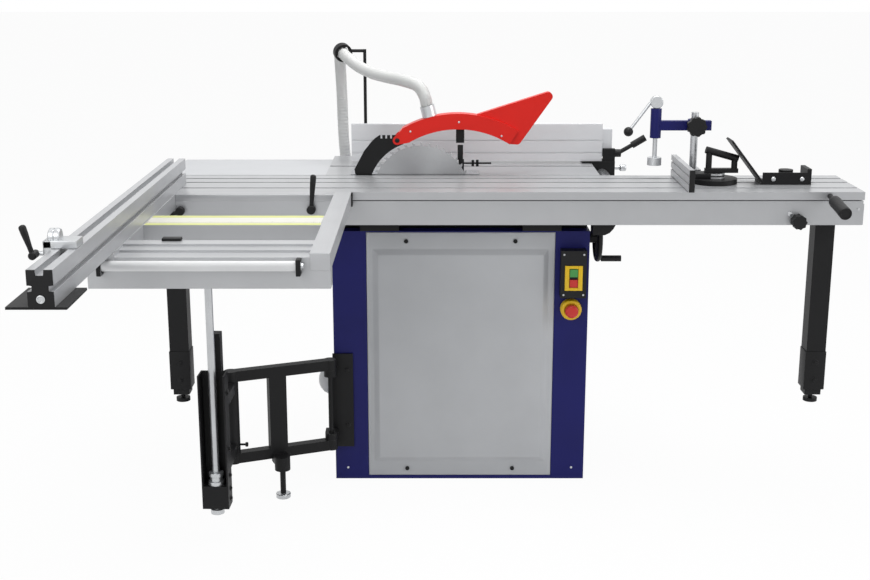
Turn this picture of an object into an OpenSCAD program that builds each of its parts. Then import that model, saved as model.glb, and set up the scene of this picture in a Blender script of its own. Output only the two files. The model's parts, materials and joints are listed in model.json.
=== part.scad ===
// Sliding table saw with outrigger table, crosscut fence, rip fence and swing-arm support.
// Frame: X to the operator's right along the cut, Y from the outrigger to the rip fence, Z up.
// Origin: centre of the cabinet's base, on the floor. Millimetres.

/* [Cabinet] */
// Width of the cabinet
cab_w = 732; // [700:2:780]
// Depth of the cabinet
cab_d = 600; // [590:2:680]
// Height of the cabinet's front
cab_h = 749; // [735:1:752]
// Sheet thickness of the cabinet
cab_wall = 3; // [2:0.5:5]
// Width of a corner column on the front
column_w = 97; // [80:1:110]
// How far the front panel's field stands out
panel_raise = 12; // [6:1:20]
// Width of the sloping border round the panel's field
panel_bevel = 26; // [15:1:40]

/* [Tables] */
// Height of the working surface above the cabinet's front
table_rise = 135; // [132:1:150]
// Width of the main table
table_w = 800; // [760:5:850]
// Depth of the main table
table_d = 370; // [350:5:410]
// Thickness of the main table
table_t = 40; // [36:1:44]
// Length of the left extension table
ext_l = 457; // [350:5:480]
// Depth of the left extension table
ext_d = 295; // [250:5:320]
// Thickness of the left extension table
ext_t = 25; // [18:1:35]

/* [Saw unit] */
// Diameter of the saw blade
blade_d = 300; // [280:2:304]
// Thickness of the saw blade's plate
blade_t = 3; // [2.2:0.2:3.6]
// Number of teeth
blade_teeth = 40; // [24:4:60]
// How far the blade stands above the table
blade_rise = 94; // [85:1:95]
// Diameter of the arbor
arbor_d = 30; // [25:1:32]
// Diameter of the motor's body
motor_d = 130; // [110:2:134]
// Length of the motor's body
motor_l = 110; // [90:2:112]
// Distance from the arbor to the motor's shaft
belt_centres = 300; // [290:2:306]

/* [Sliding carriage] */
// Length of the carriage and its beam
carriage_l = 2000; // [1800:10:2100]
// Width of the carriage
carriage_w = 276; // [260:2:290]
// Thickness of the carriage
carriage_t = 22; // [20:1:24]
// Width of the guide beam
beam_w = 175; // [160:1:178]
// Height of the guide beam
beam_h = 67; // [60:1:69]
// Diameter of the two guide rods
rod_d = 14; // [10:1:16]

/* [Legs] */
// Width of a leg's square sleeve
leg_w = 55; // [46:1:64]
// Height of a leg's foot above the floor when it is drawn in
leg_rest = 250; // [230:5:280]

/* [Outrigger table] */
// Width of the outrigger table along the cut
outrigger_w = 530; // [480:5:560]
// Reach of the outrigger table from the carriage
outrigger_reach = 747; // [720:1:780]
// Height of the outrigger's bars
outrigger_t = 39; // [34:1:44]
// Diameter of the loading roller
roller_d = 23; // [18:1:28]
// Length of the crosscut fence
fence_l = 1335; // [1250:5:1400]
// Width of the crosscut fence
fence_w = 49; // [42:1:54]
// Height of the crosscut fence
fence_h = 71; // [60:1:80]

/* [Rip fence] */
// Length of the rip fence
rip_l = 769; // [700:1:800]
// Height of the rip fence's face
rip_h = 114; // [80:1:130]
// Thickness of the rip fence's face
rip_t = 18; // [12:1:26]
// Diameter of the rip fence's rail
rail_d = 42; // [32:1:46]

/* [Swing arm] */
// Length of the inner link of the swing arm
link_inner_l = 290; // [270:2:310]
// Length of the outer link of the swing arm
link_outer_l = 248; // [220:2:270]
// Diameter of the arm's hinge pins
arm_pin_d = 14; // [10:1:16]
// Diameter of the post that carries the outrigger
post_d = 20; // [16:1:26]

/* [Dust hose] */
// Outer diameter of the dust hose
hose_d = 36; // [32:1:38]
// Wall of the dust hose
hose_wall = 2; // [1.5:0.25:3]
// Number of ribs along the hose
hose_ribs = 120; // [60:5:150]

/* [Hidden] */
$fn = 48;

// Clearances
run_gap = 0.3;
pin_gap = 0.05;
through = 1;

// Working surface above the floor
table_z = cab_h + table_rise;

// Cabinet
cab_x = cab_w / 2;
cab_front = -cab_d / 2;
cab_back = cab_d / 2;
panel_w = cab_w - 2 * column_w;
panel_z0 = 10;
panel_h = cab_h - panel_z0 - 3;
panel_t = 3;
field_inset = 27;
field_low = 64;
field_high = 51;
ledge_d = 135;
upper_front = -140;
upper_back_inset = 8;
unit_left = 190;
unit_right = 90;
belt_room = 8;

// Blade and tilt axis
blade_x = -114;
blade_y = -140;
blade_r = blade_d / 2;
arbor_z = table_z + blade_rise - blade_r;
motor_z = arbor_z - belt_centres;

// Tables
table_x0 = -392;
table_y0 = -147;
table_y1 = table_y0 + table_d;
table_under = table_z - table_t;
notch_half = 165;
notch_left = 200;
notch_back = -62;
insert_t = 5;
insert_ledge = 6;
insert_front = blade_y + insert_t + blade_t + 2;
slot_w = 18;
slot_depth = 10;

// Carriage and beam
carriage_x1 = 1094;
carriage_x0 = carriage_x1 - carriage_l;
carriage_y1 = -153;
carriage_y0 = carriage_y1 - carriage_w;
carriage_z0 = table_z - carriage_t;
beam_gap = 4;
beam_y0 = carriage_y0 + 9;
beam_y1 = beam_y0 + beam_w;
beam_z1 = carriage_z0 - beam_gap;
beam_z0 = beam_z1 - beam_h;
beam_wall = 6;
rod_inset = 25;
bracket_w = 110;
bracket_x = 230;

// Legs
leg_wall = 4;
leg_inset = 48;
leg_y = (beam_y0 + beam_y1) / 2 + 20;
leg_sleeve_z0 = leg_rest + 41;
leg_travel_gap = 0.5;
leg_x_left = carriage_x0 + leg_inset + leg_w / 2 + 25;
leg_x_right = carriage_x1 - leg_inset - leg_w / 2;

// Outrigger table
frame_y1 = carriage_y0;
frame_y0 = frame_y1 - outrigger_reach;
frame_x1 = -300;
frame_x0 = frame_x1 - outrigger_w;
frame_z0 = table_z - outrigger_t;
bar_w = 45;
left_bar_w = 60;
scale_y = 329;
scale_l = 117;
clamp_bar_y = frame_y1 - 3;
clamp_bar_w = 38;
clamp_bar_z0 = frame_z0 - 19;
clamp_bar_z1 = frame_z0 + 21;
arm_bar_t = 17;
lever_x = frame_x1 - bar_w - 60;
lever_z = frame_z0;
lever_stem_d = 12;
front_rail_l = 131;
front_lip_h = 41;
front_lip_t = 44;
roller_y = frame_y0 - 14;
roller_z = table_z - 26;
roller_pin_d = 8;
ear_t = 10;
roller_x0 = frame_x0 + 37;
roller_x1 = frame_x1 - 74;

// Crosscut fence
cross_x = frame_x0 + left_bar_w / 2 + 4;
cross_y1 = -294;
cross_y0 = cross_y1 - fence_l;
cross_z0 = table_z + run_gap;
cross_z1 = cross_z0 + fence_h;
fence_pivot_y = frame_y1 - 60;
fence_pin_d = 16;
fence_pin_l = 30;
stop_y = cross_y0 + 173;

// Rip fence
rail_x = table_x0 + table_w + 33;
rail_z = table_z - 38;
rail_y0 = table_y0 + 5;
rail_y1 = 340;
rail_foot_l = 16;
rip_x0 = rail_x - 1 - rip_l;
rip_y0 = 77;
rip_z0 = table_z + 6;
rip_back_t = 32;
rip_lever_y = rip_y0 + 7;
rip_lever_z = table_z + 30;

// Mitre gauge and clamp
mitre_x = 713;
mitre_y = -275;
mitre_d = 130;
mitre_t = 14;
mitre_pin_z0 = carriage_z0 + 6;
clamp_x = 666;
clamp_y = -205;
clamp_col_d = 21;
clamp_top = table_z + 190;
clamp_rod_x = 555;
clamp_rod_d = 13;

// Swing arm
arm_x = -cab_x - 8;
arm_y = cab_front - 45;
arm_low = 112;
arm_high = 384;
arm_bar = 30;
arm_angle = 202;
elbow_x = arm_x + link_inner_l * cos(arm_angle);
elbow_y = arm_y + link_inner_l * sin(arm_angle);
outer_angle = 268;
arm_post_x = elbow_x + link_outer_l * cos(outer_angle);
arm_post_y = elbow_y + link_outer_l * sin(outer_angle);
knuckle_d = 40;
pad_d = 50;
lug_t = 20;

// Handwheels and switches
height_wheel_y = -200;
height_wheel_z = beam_z0 - 80;
height_wheel_r = 72;
tilt_wheel_y = -150;
tilt_wheel_z = 260;
tilt_wheel_r = 46;
wheel_shaft_d = 16;
wheel_reach = 34;
switch_x = 319;
switch_z = cab_h - 118;
switch_w = 72;
switch_h = 137;
switch_d = 38;
button_w = 22;
button_gap = 30;
button_out = 5;
estop_x = 316;
estop_z = cab_h - 226;
estop_d = 60;

// Round bar along X, Y or Z that starts at a point
module bar_x(p, d, l) translate(p) rotate([0, 90, 0]) cylinder(d = d, h = l);
module bar_y(p, d, l) translate(p) rotate([-90, 0, 0]) cylinder(d = d, h = l);
module bar_z(p, d, l) translate(p) cylinder(d = d, h = l);

// Block between two corners
module block(a, b) translate(a) cube(b - a);

// Straight round rod between two points
module strut(a, b, d) {
    v = b - a;
    len = norm(v);
    translate(a)
        rotate([0, acos(v[2] / len), atan2(v[1], v[0])])
            cylinder(d = d, h = len);
}

// Rod between two points with a ball on its far end
module ball_rod(a, b, d, ball) {
    v = b - a;
    len = norm(v);
    translate(a)
        rotate([0, acos(v[2] / len), atan2(v[1], v[0])]) {
            cylinder(d = d, h = len);
            translate([0, 0, len])
                sphere(d = ball);
        }
}

// Profile of radius and X swept about the tilt axis, from a0 to a1 counted from straight down towards +Y
module tilt_sweep(x0, a0, a1)
    translate([x0, blade_y, table_z])
        rotate([90, 0, 90])
            rotate([0, 0, a0 - 90])
                rotate_extrude(angle = a1 - a0, $fn = 96)
                    children();

// Knob with lobes, its axis along -Y, standing on a face at y
module star_knob(x, y, z, d, l) {
    lobes = 9;
    translate([x, y, z])
        rotate([90, 0, 0]) {
            cylinder(d = d * 0.9, h = l);
            for (i = [0 : lobes - 1])
                rotate([0, 0, i * 360 / lobes])
                    translate([d * 0.39, 0, 0])
                        cylinder(d = d * 0.22, h = l);
        }
}

// Cabinet: folded sheet with corner columns, open at the top over the saw unit
module cabinet_shell() color("midnightblue") {
    upper_back = table_y1 - upper_back_inset;
    difference() {
        union() {
            block([-cab_x, cab_front, 0], [cab_x, cab_back, cab_h]);
            block([-cab_x, upper_front, cab_h - through], [cab_x, upper_back, table_under]);
        }
        block([-cab_x + cab_wall, cab_front + cab_wall, cab_wall],
            [cab_x - cab_wall, cab_back - cab_wall, cab_h - cab_wall]);
        block([-cab_x + cab_wall, upper_front, cab_h - 2 * cab_wall],
            [cab_x - cab_wall, upper_back - cab_wall, table_under + through]);
        block([-cab_x + cab_wall, cab_front + ledge_d, cab_h - 2 * cab_wall],
            [cab_x - cab_wall, upper_front + through, cab_h + through]);
        block([blade_x - unit_left, pulley_y0 - belt_room, cab_h - 2 * cab_wall],
            [blade_x + unit_right, cab_front + ledge_d + through, cab_h + through]);
        block([-panel_w / 2, cab_front - through, panel_z0], [panel_w / 2, cab_front + panel_t, panel_z0 + panel_h]);
        bar_x([cab_x - 2 * cab_wall, height_wheel_y, height_wheel_z], wheel_shaft_d + 2 * pin_gap, 3 * cab_wall);
        bar_x([-cab_x - cab_wall, tilt_wheel_y, tilt_wheel_z], wheel_shaft_d + 2 * pin_gap, 3 * cab_wall);
    }
}

// Front panel with a raised field and sloping borders
module front_panel() color("lightgray") {
    f_x = panel_w / 2 - field_inset;
    f_z0 = panel_z0 + field_low;
    f_z1 = panel_z0 + panel_h - field_high;
    steps = 4;
    difference() {
        union() {
            block([-panel_w / 2 + run_gap, cab_front, panel_z0 + run_gap],
                [panel_w / 2 - run_gap, cab_front + panel_t, panel_z0 + panel_h - run_gap]);
            for (i = [0 : steps - 1]) {
                back = i * panel_bevel / steps - panel_bevel / 2;
                block([-f_x + back, cab_front - (i + 1) * panel_raise / steps, f_z0 + back],
                    [f_x - back, cab_front + through, f_z1 - back]);
            }
        }
        block([-f_x + panel_bevel, cab_front - panel_raise + panel_t, f_z0 + panel_bevel],
            [f_x - panel_bevel, cab_front + panel_t + through, f_z1 - panel_bevel]);
        for (p = panel_screw_places())
            bar_y([p[0], cab_front - through, p[1]], panel_screw_d + 2 * pin_gap, panel_t + 2 * through);
    }
}
panel_screw_d = 6;
function panel_screw_places() = [for (x = [-155, 155], z = [panel_z0 + 23, panel_z0 + panel_h - 26]) [x, z]];

// Panel screws with domed heads
module panel_screws() color("black")
    for (p = panel_screw_places()) {
        bar_y([p[0], cab_front - 4, p[1]], 12, 4);
        bar_y([p[0], cab_front - through, p[1]], panel_screw_d, panel_t + through);
    }

// Cast table with a notch for the blade and one slot for a mitre bar
module main_table() color("darkgray")
    difference() {
        block([table_x0, table_y0, table_under], [table_x0 + table_w, table_y1, table_z]);
        block([blade_x - notch_left, table_y0 - through, table_under - through],
            [blade_x + notch_half, notch_back, table_z + through]);
        block([blade_x - notch_left - insert_ledge, table_y0 - through, table_z - insert_t],
            [blade_x + notch_half + insert_ledge, notch_back + insert_ledge, table_z + through]);
        block([table_x0 - through, 10, table_z - slot_depth], [table_x0 + table_w + through, 10 + slot_w, table_z + through]);
    }

// Removable plate beside the blade
module table_insert() color("dimgray")
    block([blade_x - notch_left - insert_ledge + run_gap, insert_front, table_z - insert_t],
        [blade_x + notch_half + insert_ledge - run_gap, notch_back + insert_ledge - run_gap, table_z]);

// Extension table on the outfeed side
module extension_table() color("gainsboro") {
    skin = 5;
    difference() {
        block([table_x0 - ext_l, table_y0, table_z - ext_t], [table_x0, table_y0 + ext_d, table_z]);
        block([table_x0 - ext_l + skin, table_y0 + skin, table_z - ext_t - through],
            [table_x0 - skin, table_y0 + ext_d - skin, table_z - skin]);
    }
}

// Round rail for the rip fence, on two feet at the table's right edge
module rip_rail() color("silver") {
    bar_y([rail_x, rail_y0, rail_z], rail_d, rail_y1 - rail_y0);
    for (y = [rail_y0, table_y1 - rail_foot_l - 5])
        block([table_x0 + table_w, y, rail_z - rail_d / 2 + 6], [rail_x, y + rail_foot_l, table_z - 10]);
}

// Guide beam, a hollow extrusion along the carriage
module guide_beam() color("gainsboro")
    difference() {
        block([carriage_x0, beam_y0, beam_z0], [carriage_x1, beam_y1, beam_z1]);
        for (y = rod_places())
            bar_x([carriage_x0 - through, y, beam_z1], rod_d, carriage_l + 2 * through);
        block([carriage_x0 - through, beam_y0 + 2 * rod_inset, beam_z0 + beam_wall],
            [carriage_x1 + through, beam_y1 - 2 * rod_inset, beam_z1 - beam_wall]);
        for (y = [beam_y0 + beam_wall, beam_y1 - 2 * rod_inset + beam_wall])
            block([carriage_x0 - through, y, beam_z0 + beam_wall],
                [carriage_x1 + through, y + 2 * rod_inset - 2 * beam_wall, beam_z1 - rod_d / 2 - beam_wall]);
    }
function rod_places() = [beam_y0 + rod_inset, beam_y1 - rod_inset];

// Steel rods that the carriage runs on
module guide_rods() color("silver")
    for (y = rod_places())
        bar_x([carriage_x0, y, beam_z1], rod_d, carriage_l);

// Brackets between the cabinet and the guide beam
module beam_brackets() color("black")
    for (s = [-1, 1])
        block([s * bracket_x - bracket_w / 2, cab_front, cab_h],
            [s * bracket_x + bracket_w / 2, beam_y1, beam_z0]);

// Square sleeve of a leg, open below
module leg_sleeve(x) color("black")
    difference() {
        block([x - leg_w / 2, leg_y - leg_w / 2, leg_sleeve_z0], [x + leg_w / 2, leg_y + leg_w / 2, beam_z0]);
        block([x - leg_w / 2 + leg_wall, leg_y - leg_w / 2 + leg_wall, leg_sleeve_z0 - through],
            [x + leg_w / 2 - leg_wall, leg_y + leg_w / 2 - leg_wall, beam_z0 - leg_wall]);
    }
module left_leg_sleeve() leg_sleeve(leg_x_left);
module right_leg_sleeve() leg_sleeve(leg_x_right);

// Inner leg with a levelling foot
module leg_foot(x) color("black") {
    inner = leg_w - 2 * leg_wall - 2 * leg_travel_gap;
    foot_d = 40;
    foot_t = 10;
    stem = 14;
    z0 = leg_rest + foot_t + stem;
    bore = inner - 2 * leg_wall;
    difference() {
        block([x - inner / 2, leg_y - inner / 2, z0], [x + inner / 2, leg_y + inner / 2, beam_z0 - 80]);
        block([x - bore / 2, leg_y - bore / 2, z0 + leg_wall], [x + bore / 2, leg_y + bore / 2, beam_z0]);
    }
    bar_z([x, leg_y, leg_rest], foot_d, foot_t);
    bar_z([x, leg_y, leg_rest + foot_t], 12, stem);
}
module left_leg_foot() leg_foot(leg_x_left);
module right_leg_foot() leg_foot(leg_x_right);

// Switch housing with two wells for the buttons
module switch_box() color("black")
    difference() {
        block([switch_x - switch_w / 2, cab_front - switch_d, switch_z - switch_h / 2],
            [switch_x + switch_w / 2, cab_front, switch_z + switch_h / 2]);
        for (z = button_places())
            block([switch_x - button_w / 2 - run_gap, cab_front - switch_d - through, z - button_w / 2 - run_gap],
                [switch_x + button_w / 2 + run_gap, cab_front - switch_d / 3, z + button_w / 2 + run_gap]);
    }
function button_places() = [switch_z - 10 + button_gap / 2, switch_z - 10 - button_gap / 2];
module switch_button(z)
    block([switch_x - button_w / 2, cab_front - switch_d - button_out, z - button_w / 2],
        [switch_x + button_w / 2, cab_front - switch_d / 3 - 2 * button_out, z + button_w / 2]);
module start_button() color("green") switch_button(button_places()[0]);
module stop_button() color("red") switch_button(button_places()[1]);

// Emergency stop: yellow base with a bore for the mushroom's stem
estop_base_t = 24;
estop_stem_d = 20;
module estop_base() color("gold")
    difference() {
        bar_y([estop_x, cab_front - estop_base_t, estop_z], estop_d, estop_base_t);
        bar_y([estop_x, cab_front - estop_base_t - through, estop_z], estop_stem_d + 2 * pin_gap, estop_base_t);
    }
module estop_button() color("red") {
    bar_y([estop_x, cab_front - estop_base_t - 22, estop_z], 38, 14);
    bar_y([estop_x, cab_front - estop_base_t - 8 - through, estop_z], estop_stem_d, 22);
}

// Handwheel on a shaft, standing out of the cabinet's side towards +X
module handwheel(r) {
    rim = 16;
    hub_d = 34;
    rotate([0, 90, 0]) {
        translate([0, 0, wheel_reach])
            rotate_extrude()
                translate([r - rim / 2, 0])
                    circle(d = rim, $fn = 24);
        translate([0, 0, run_gap])
            cylinder(d = hub_d, h = wheel_reach + rim / 2);
        translate([0, 0, -50])
            cylinder(d = wheel_shaft_d, h = 51);
        for (a = [0, 120, 240])
            rotate([0, 0, a])
                translate([0, -6, wheel_reach - 4])
                    cube([r - rim / 2, 12, 8]);
        translate([r - rim / 2, 0, wheel_reach])
            cylinder(d = 10, h = 70);
        translate([r - rim / 2, 0, wheel_reach + rim / 2 + 4])
            cylinder(d = 18, h = 58);
    }
}
module height_handwheel() color("black")
    translate([cab_x, height_wheel_y, height_wheel_z])
        handwheel(height_wheel_r);
module tilt_handwheel() color("whitesmoke")
    translate([-cab_x, tilt_wheel_y, tilt_wheel_z])
        rotate([0, -90, 0]) {
            translate([0, 0, -50])
                cylinder(d = wheel_shaft_d, h = 55);
            rotate_extrude()
                polygon([[0, run_gap], [tilt_wheel_r - 4, run_gap], [tilt_wheel_r, 5], [tilt_wheel_r, 12],
                    [tilt_wheel_r - 4, 23], [tilt_wheel_r - 13, 33], [tilt_wheel_r - 28, 40], [0, 43]]);
        }

// Trunnion brackets under the table, each with an arc groove for the cradle
groove_r0 = 100;
groove_r1 = 125;
lip_t = 12;
arc_x = 200;
arc_l = 28;
lip_l = 20;
web_t = 14;
sector_a0 = -40;
sector_a1 = 56;
module trunnion_brackets() color("dimgray") {
    inner = [groove_r0 - lip_t, groove_r0 - run_gap];
    outer = [groove_r1 + run_gap, groove_r1 + lip_t];
    lip = lip_l + run_gap;
    depth = lip + web_t;
    left_x0 = blade_x - arc_x - arc_l / 2 - run_gap - web_t;
    right_x0 = blade_x + arc_x + arc_l / 2 - lip_l;
    tilt_sweep(left_x0, sector_a0, sector_a1)
        polygon([[inner[0], 0], [outer[1], 0], [outer[1], depth], [outer[0], depth],
            [outer[0], web_t], [inner[1], web_t], [inner[1], depth], [inner[0], depth]]);
    tilt_sweep(right_x0, sector_a0, sector_a1)
        polygon([[inner[0], 0], [inner[1], 0], [inner[1], lip], [outer[0], lip],
            [outer[0], 0], [outer[1], 0], [outer[1], depth], [inner[0], depth]]);
    for (x = [left_x0, right_x0 + lip])
        block([x + through, table_y0, table_z - groove_r0], [x + web_t - through, notch_back + 20, table_under]);
}

// Tilting cradle: a slotted plate between two arcs
cradle_t = 10;
cradle_y = blade_y - 24;
housing_d = 60;
cradle_z1 = table_z - 62;
cradle_z0 = table_z - 270;
module tilt_cradle() color("slategray") {
    plate_x0 = blade_x - arc_x + arc_l / 2 - 6;
    plate_x1 = blade_x + arc_x - arc_l / 2 + 6;
    slot_low = arbor_z - blade_rise - housing_d / 2 - 3;
    for (s = [-1, 1])
        tilt_sweep(blade_x + s * arc_x - arc_l / 2, -45, 11)
            translate([groove_r0, 0])
                square([groove_r1 - groove_r0, arc_l]);
    difference() {
        block([plate_x0, cradle_y, cradle_z0], [plate_x1, cradle_y + cradle_t, cradle_z1]);
        block([blade_x - housing_d / 2 - 2, cradle_y - through, slot_low],
            [blade_x + housing_d / 2 + 2, cradle_y + cradle_t + through, cradle_z1 + through]);
        block([knife_x0 - 3, cradle_y - through, arbor_z - blade_rise - 83],
            [knife_x0 + knife_foot_w + 3, cradle_y + cradle_t + through, cradle_z1 + through]);
    }
}

// Lifting carrier: plate with the arbor's housing and a shelf for the motor
carrier_t = 12;
carrier_y1 = cradle_y - run_gap;
carrier_y0 = carrier_y1 - carrier_t;
carrier_half = 70;
housing_y0 = blade_y - 70;
housing_y1 = blade_y - 12;
motor_shaft_d = 24;
module lift_carrier() color("slategray")
    difference() {
        union() {
            block([blade_x - carrier_half, carrier_y0, motor_z - 64], [blade_x + carrier_half, carrier_y1, arbor_z + 20]);
            bar_y([blade_x, housing_y0, arbor_z], housing_d, housing_y1 - housing_y0);
        }
        bar_y([blade_x, housing_y0 - through, arbor_z], arbor_d + 2 * pin_gap, housing_y1 - housing_y0 + 2 * through);
        bar_y([blade_x, carrier_y0 - through, motor_z], motor_shaft_d + 2 * pin_gap, carrier_t + 2 * through);
    }

// Motor body with cooling fins and a terminal box
module motor() color("midnightblue") {
    fins = 28;
    core = motor_d - 10;
    difference() {
        union() {
            bar_y([blade_x, carrier_y1, motor_z], core, motor_l);
            for (i = [0 : fins - 1])
                translate([blade_x, carrier_y1 + 12, motor_z])
                    rotate([0, i * 360 / fins, 0])
                        translate([0, 0, -1.5])
                            cube([motor_d / 2, motor_l - 24, 3]);
        }
        bar_y([blade_x, carrier_y1 - through, motor_z], motor_shaft_d + 2, motor_l - 10);
    }
}

// Arbor with pulley, flanges and nut
pulley_y0 = blade_y - 94;
pulley_w = 20;
arbor_pulley_d = 58;
motor_pulley_d = 78;
flange_d = 70;
flange_t = 8;
nut_t = 13;
module arbor_shaft() color("silver") {
    hub = blade_t / 2;
    bar_y([blade_x, pulley_y0, arbor_z], arbor_d, blade_y - hub - pulley_y0);
    bar_y([blade_x, blade_y - hub, arbor_z], arbor_d - 2 * pin_gap, blade_t);
    bar_y([blade_x, blade_y + hub, arbor_z], arbor_d, flange_t + nut_t);
    bar_y([blade_x, blade_y - hub - flange_t, arbor_z], flange_d, flange_t);
    bar_y([blade_x, blade_y + hub, arbor_z], flange_d, flange_t);
    bar_y([blade_x, blade_y + hub + flange_t, arbor_z], 46, nut_t - 3, $fn = 6);
    bar_y([blade_x, pulley_y0, arbor_z], arbor_pulley_d, pulley_w);
}
module motor_pulley() color("silver") {
    bar_y([blade_x, pulley_y0, motor_z], motor_pulley_d, pulley_w);
    bar_y([blade_x, pulley_y0, motor_z], motor_shaft_d, carrier_y1 + 60 - pulley_y0);
}

// Flat belt round both pulleys
belt_t = 4;
module belt_loop(grow)
    hull()
        for (p = [[arbor_z, arbor_pulley_d], [motor_z, motor_pulley_d]])
            translate([0, p[0]])
                circle(d = p[1] + 2 * grow, $fn = 64);
module drive_belt() color("black")
    translate([blade_x, pulley_y0 + pulley_w - 1, 0])
        rotate([90, 0, 0])
            linear_extrude(pulley_w - 2)
                difference() {
                    belt_loop(run_gap + belt_t);
                    belt_loop(run_gap);
                }

// Saw blade with hooked teeth and a bore
gullet_d = 9;
tooth_depth = 9;
module saw_blade() color("lightgray")
    translate([blade_x, blade_y + blade_t / 2, arbor_z])
        rotate([90, 0, 0])
            linear_extrude(blade_t)
                difference() {
                    union() {
                        circle(r = blade_r - tooth_depth, $fn = 96);
                        for (i = [0 : blade_teeth - 1])
                            rotate(i * 360 / blade_teeth)
                                polygon([[blade_r - tooth_depth - 3, -8], [blade_r - 3, -4],
                                    [blade_r, 2], [blade_r - tooth_depth - 3, 1]]);
                    }
                    circle(d = arbor_d, $fn = 64);
                }

// Riving knife behind the blade, bolted to the carrier's edge
knife_gap = 4;
knife_w = 56;
knife_t = 2.6;
knife_top = 138;
guard_pivot = [blade_x - 68, blade_y, table_z + 103];
knife_pin_d = 10;
knife_x0 = blade_x - blade_r - 22;
knife_foot_w = 22;
module riving_knife() color("black") {
    translate([blade_x, blade_y + knife_t / 2, arbor_z])
        rotate([90, 0, 0])
            linear_extrude(knife_t)
                difference() {
                    intersection() {
                        circle(r = blade_r + knife_gap + knife_w, $fn = 96);
                        polygon([[-blade_r - 26, -70], [-60, -70], [-40, 110], [-58, 172], [-128, 172],
                            [-blade_r - 15, 126], [-blade_r - 44, 72], [-blade_r - 42, 60], [-blade_r - 34, 48],
                            [-blade_r - 34, 40], [-blade_r - 26, 30]]);
                    }
                    circle(r = blade_r + knife_gap, $fn = 96);
                    translate([guard_pivot[0] - blade_x, guard_pivot[2] - arbor_z])
                        circle(d = knife_pin_d + 2 * pin_gap);
                    for (x = [-117, -103, -89])
                        translate([x, 162])
                            square([5, 12]);
                }
    block([knife_x0, carrier_y0, arbor_z - 80], [blade_x - carrier_half, carrier_y1, arbor_z - 40]);
    block([knife_x0, carrier_y0, arbor_z - 80], [knife_x0 + knife_foot_w, blade_y + knife_t / 2, arbor_z - 60]);
}

// Blade guard: an arched hood that pivots on the riving knife, with a flat nose
arch_u = 175;
arch_w = -247;
arch_r0 = 279;
arch_r1 = 324;
arch_a0 = 57.6;
arch_a1 = 120;
guard_w = 44;
nose_w = 26;
guard_wall = 3;
guard_end_r = 13;
module arch_band(r0, r1)
    translate([arch_u, arch_w])
        difference() {
            intersection() {
                circle(r = r1, $fn = 128);
                polygon([[0, 0], 500 * [cos(arch_a0), sin(arch_a0)], [0, 700], 500 * [cos(arch_a1), sin(arch_a1)]]);
            }
            circle(r = r0, $fn = 128);
        }
module guard_slice(w)
    translate([guard_pivot[0], guard_pivot[1] + w / 2, guard_pivot[2]])
        rotate([90, 0, 0])
            linear_extrude(w)
                children();
module blade_guard() color("red") {
    difference() {
        union() {
            guard_slice(guard_w) {
                arch_band(arch_r0, arch_r1);
                circle(r = guard_end_r);
                polygon([[-2, -13], [-10, 8], [14, 32], [36, -6]]);
            }
            guard_slice(nose_w)
                hull()
                    for (p = [[236, 62], [434, 125], [346, 0], [318, 2]])
                        translate(p)
                            circle(r = 13, $fn = 32);
        }
        guard_slice(guard_w - 2 * guard_wall) {
            arch_band(arch_r0 - 10, arch_r1 - guard_wall);
            circle(r = guard_end_r + 6);
            polygon([[-6, -22], [-20, 12], [8, 24], [50, 10], [50, -22]]);
        }
    }
    bar_y([guard_pivot[0], guard_pivot[1] - guard_w / 2, guard_pivot[2]], knife_pin_d, guard_w);
}

// Collar on the guard that holds the hose
collar_u = 94;
collar_tilt = -14.5;
collar_l = 32;
collar_d = hose_d + 6;
module guard_collar() color("silver")
    translate([guard_pivot[0] + arch_u, guard_pivot[1], guard_pivot[2] + arch_w])
        rotate([0, collar_tilt, 0])
            difference() {
                translate([0, 0, arch_r1 + run_gap / 2])
                    cylinder(d = collar_d, h = collar_l);
                translate([0, 0, arch_r1 - 20])
                    cylinder(d = hose_d - 2 * hose_wall, h = collar_l + 40);
            }

// Sliding carriage: an extrusion with T-grooves, running on the guide rods
groove_w = 12;
groove_d = 9;
module carriage_top() color("gainsboro") {
    grooves = [carriage_y0 + 60, carriage_y0 + 150, carriage_y0 + 215];
    difference() {
        block([carriage_x0, carriage_y0, carriage_z0], [carriage_x1, carriage_y1, table_z]);
        for (y = grooves)
            block([carriage_x0 - through, y, table_z - groove_d], [carriage_x1 + through, y + groove_w, table_z + through]);
        for (y = rod_places())
            bar_x([carriage_x0 - through, y, beam_z1], rod_d + 2 * run_gap, carriage_l + 2 * through);
        bar_z([mitre_x, mitre_y, mitre_pin_z0], 11.8 + 2 * pin_gap, table_z - mitre_pin_z0 + through);
        handle_stem(2 * pin_gap);
    }
}

// Push handle on the carriage's front
push_stem_d = 14;
push_stem_l = 12;
push_slope = 8;
module on_push_axis()
    translate([carriage_x1 - 95, carriage_y0, table_z - carriage_t / 2])
        rotate([90 + push_slope, 0, 0])
            children();
module handle_stem(grow)
    on_push_axis()
        translate([0, 0, -push_stem_l])
            cylinder(d = push_stem_d + grow, h = push_stem_l + 60);
module push_handle() color("black") {
    handle_stem(0);
    on_push_axis()
        translate([0, 0, 40])
            cylinder(d = 34, h = 110);
}

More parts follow.
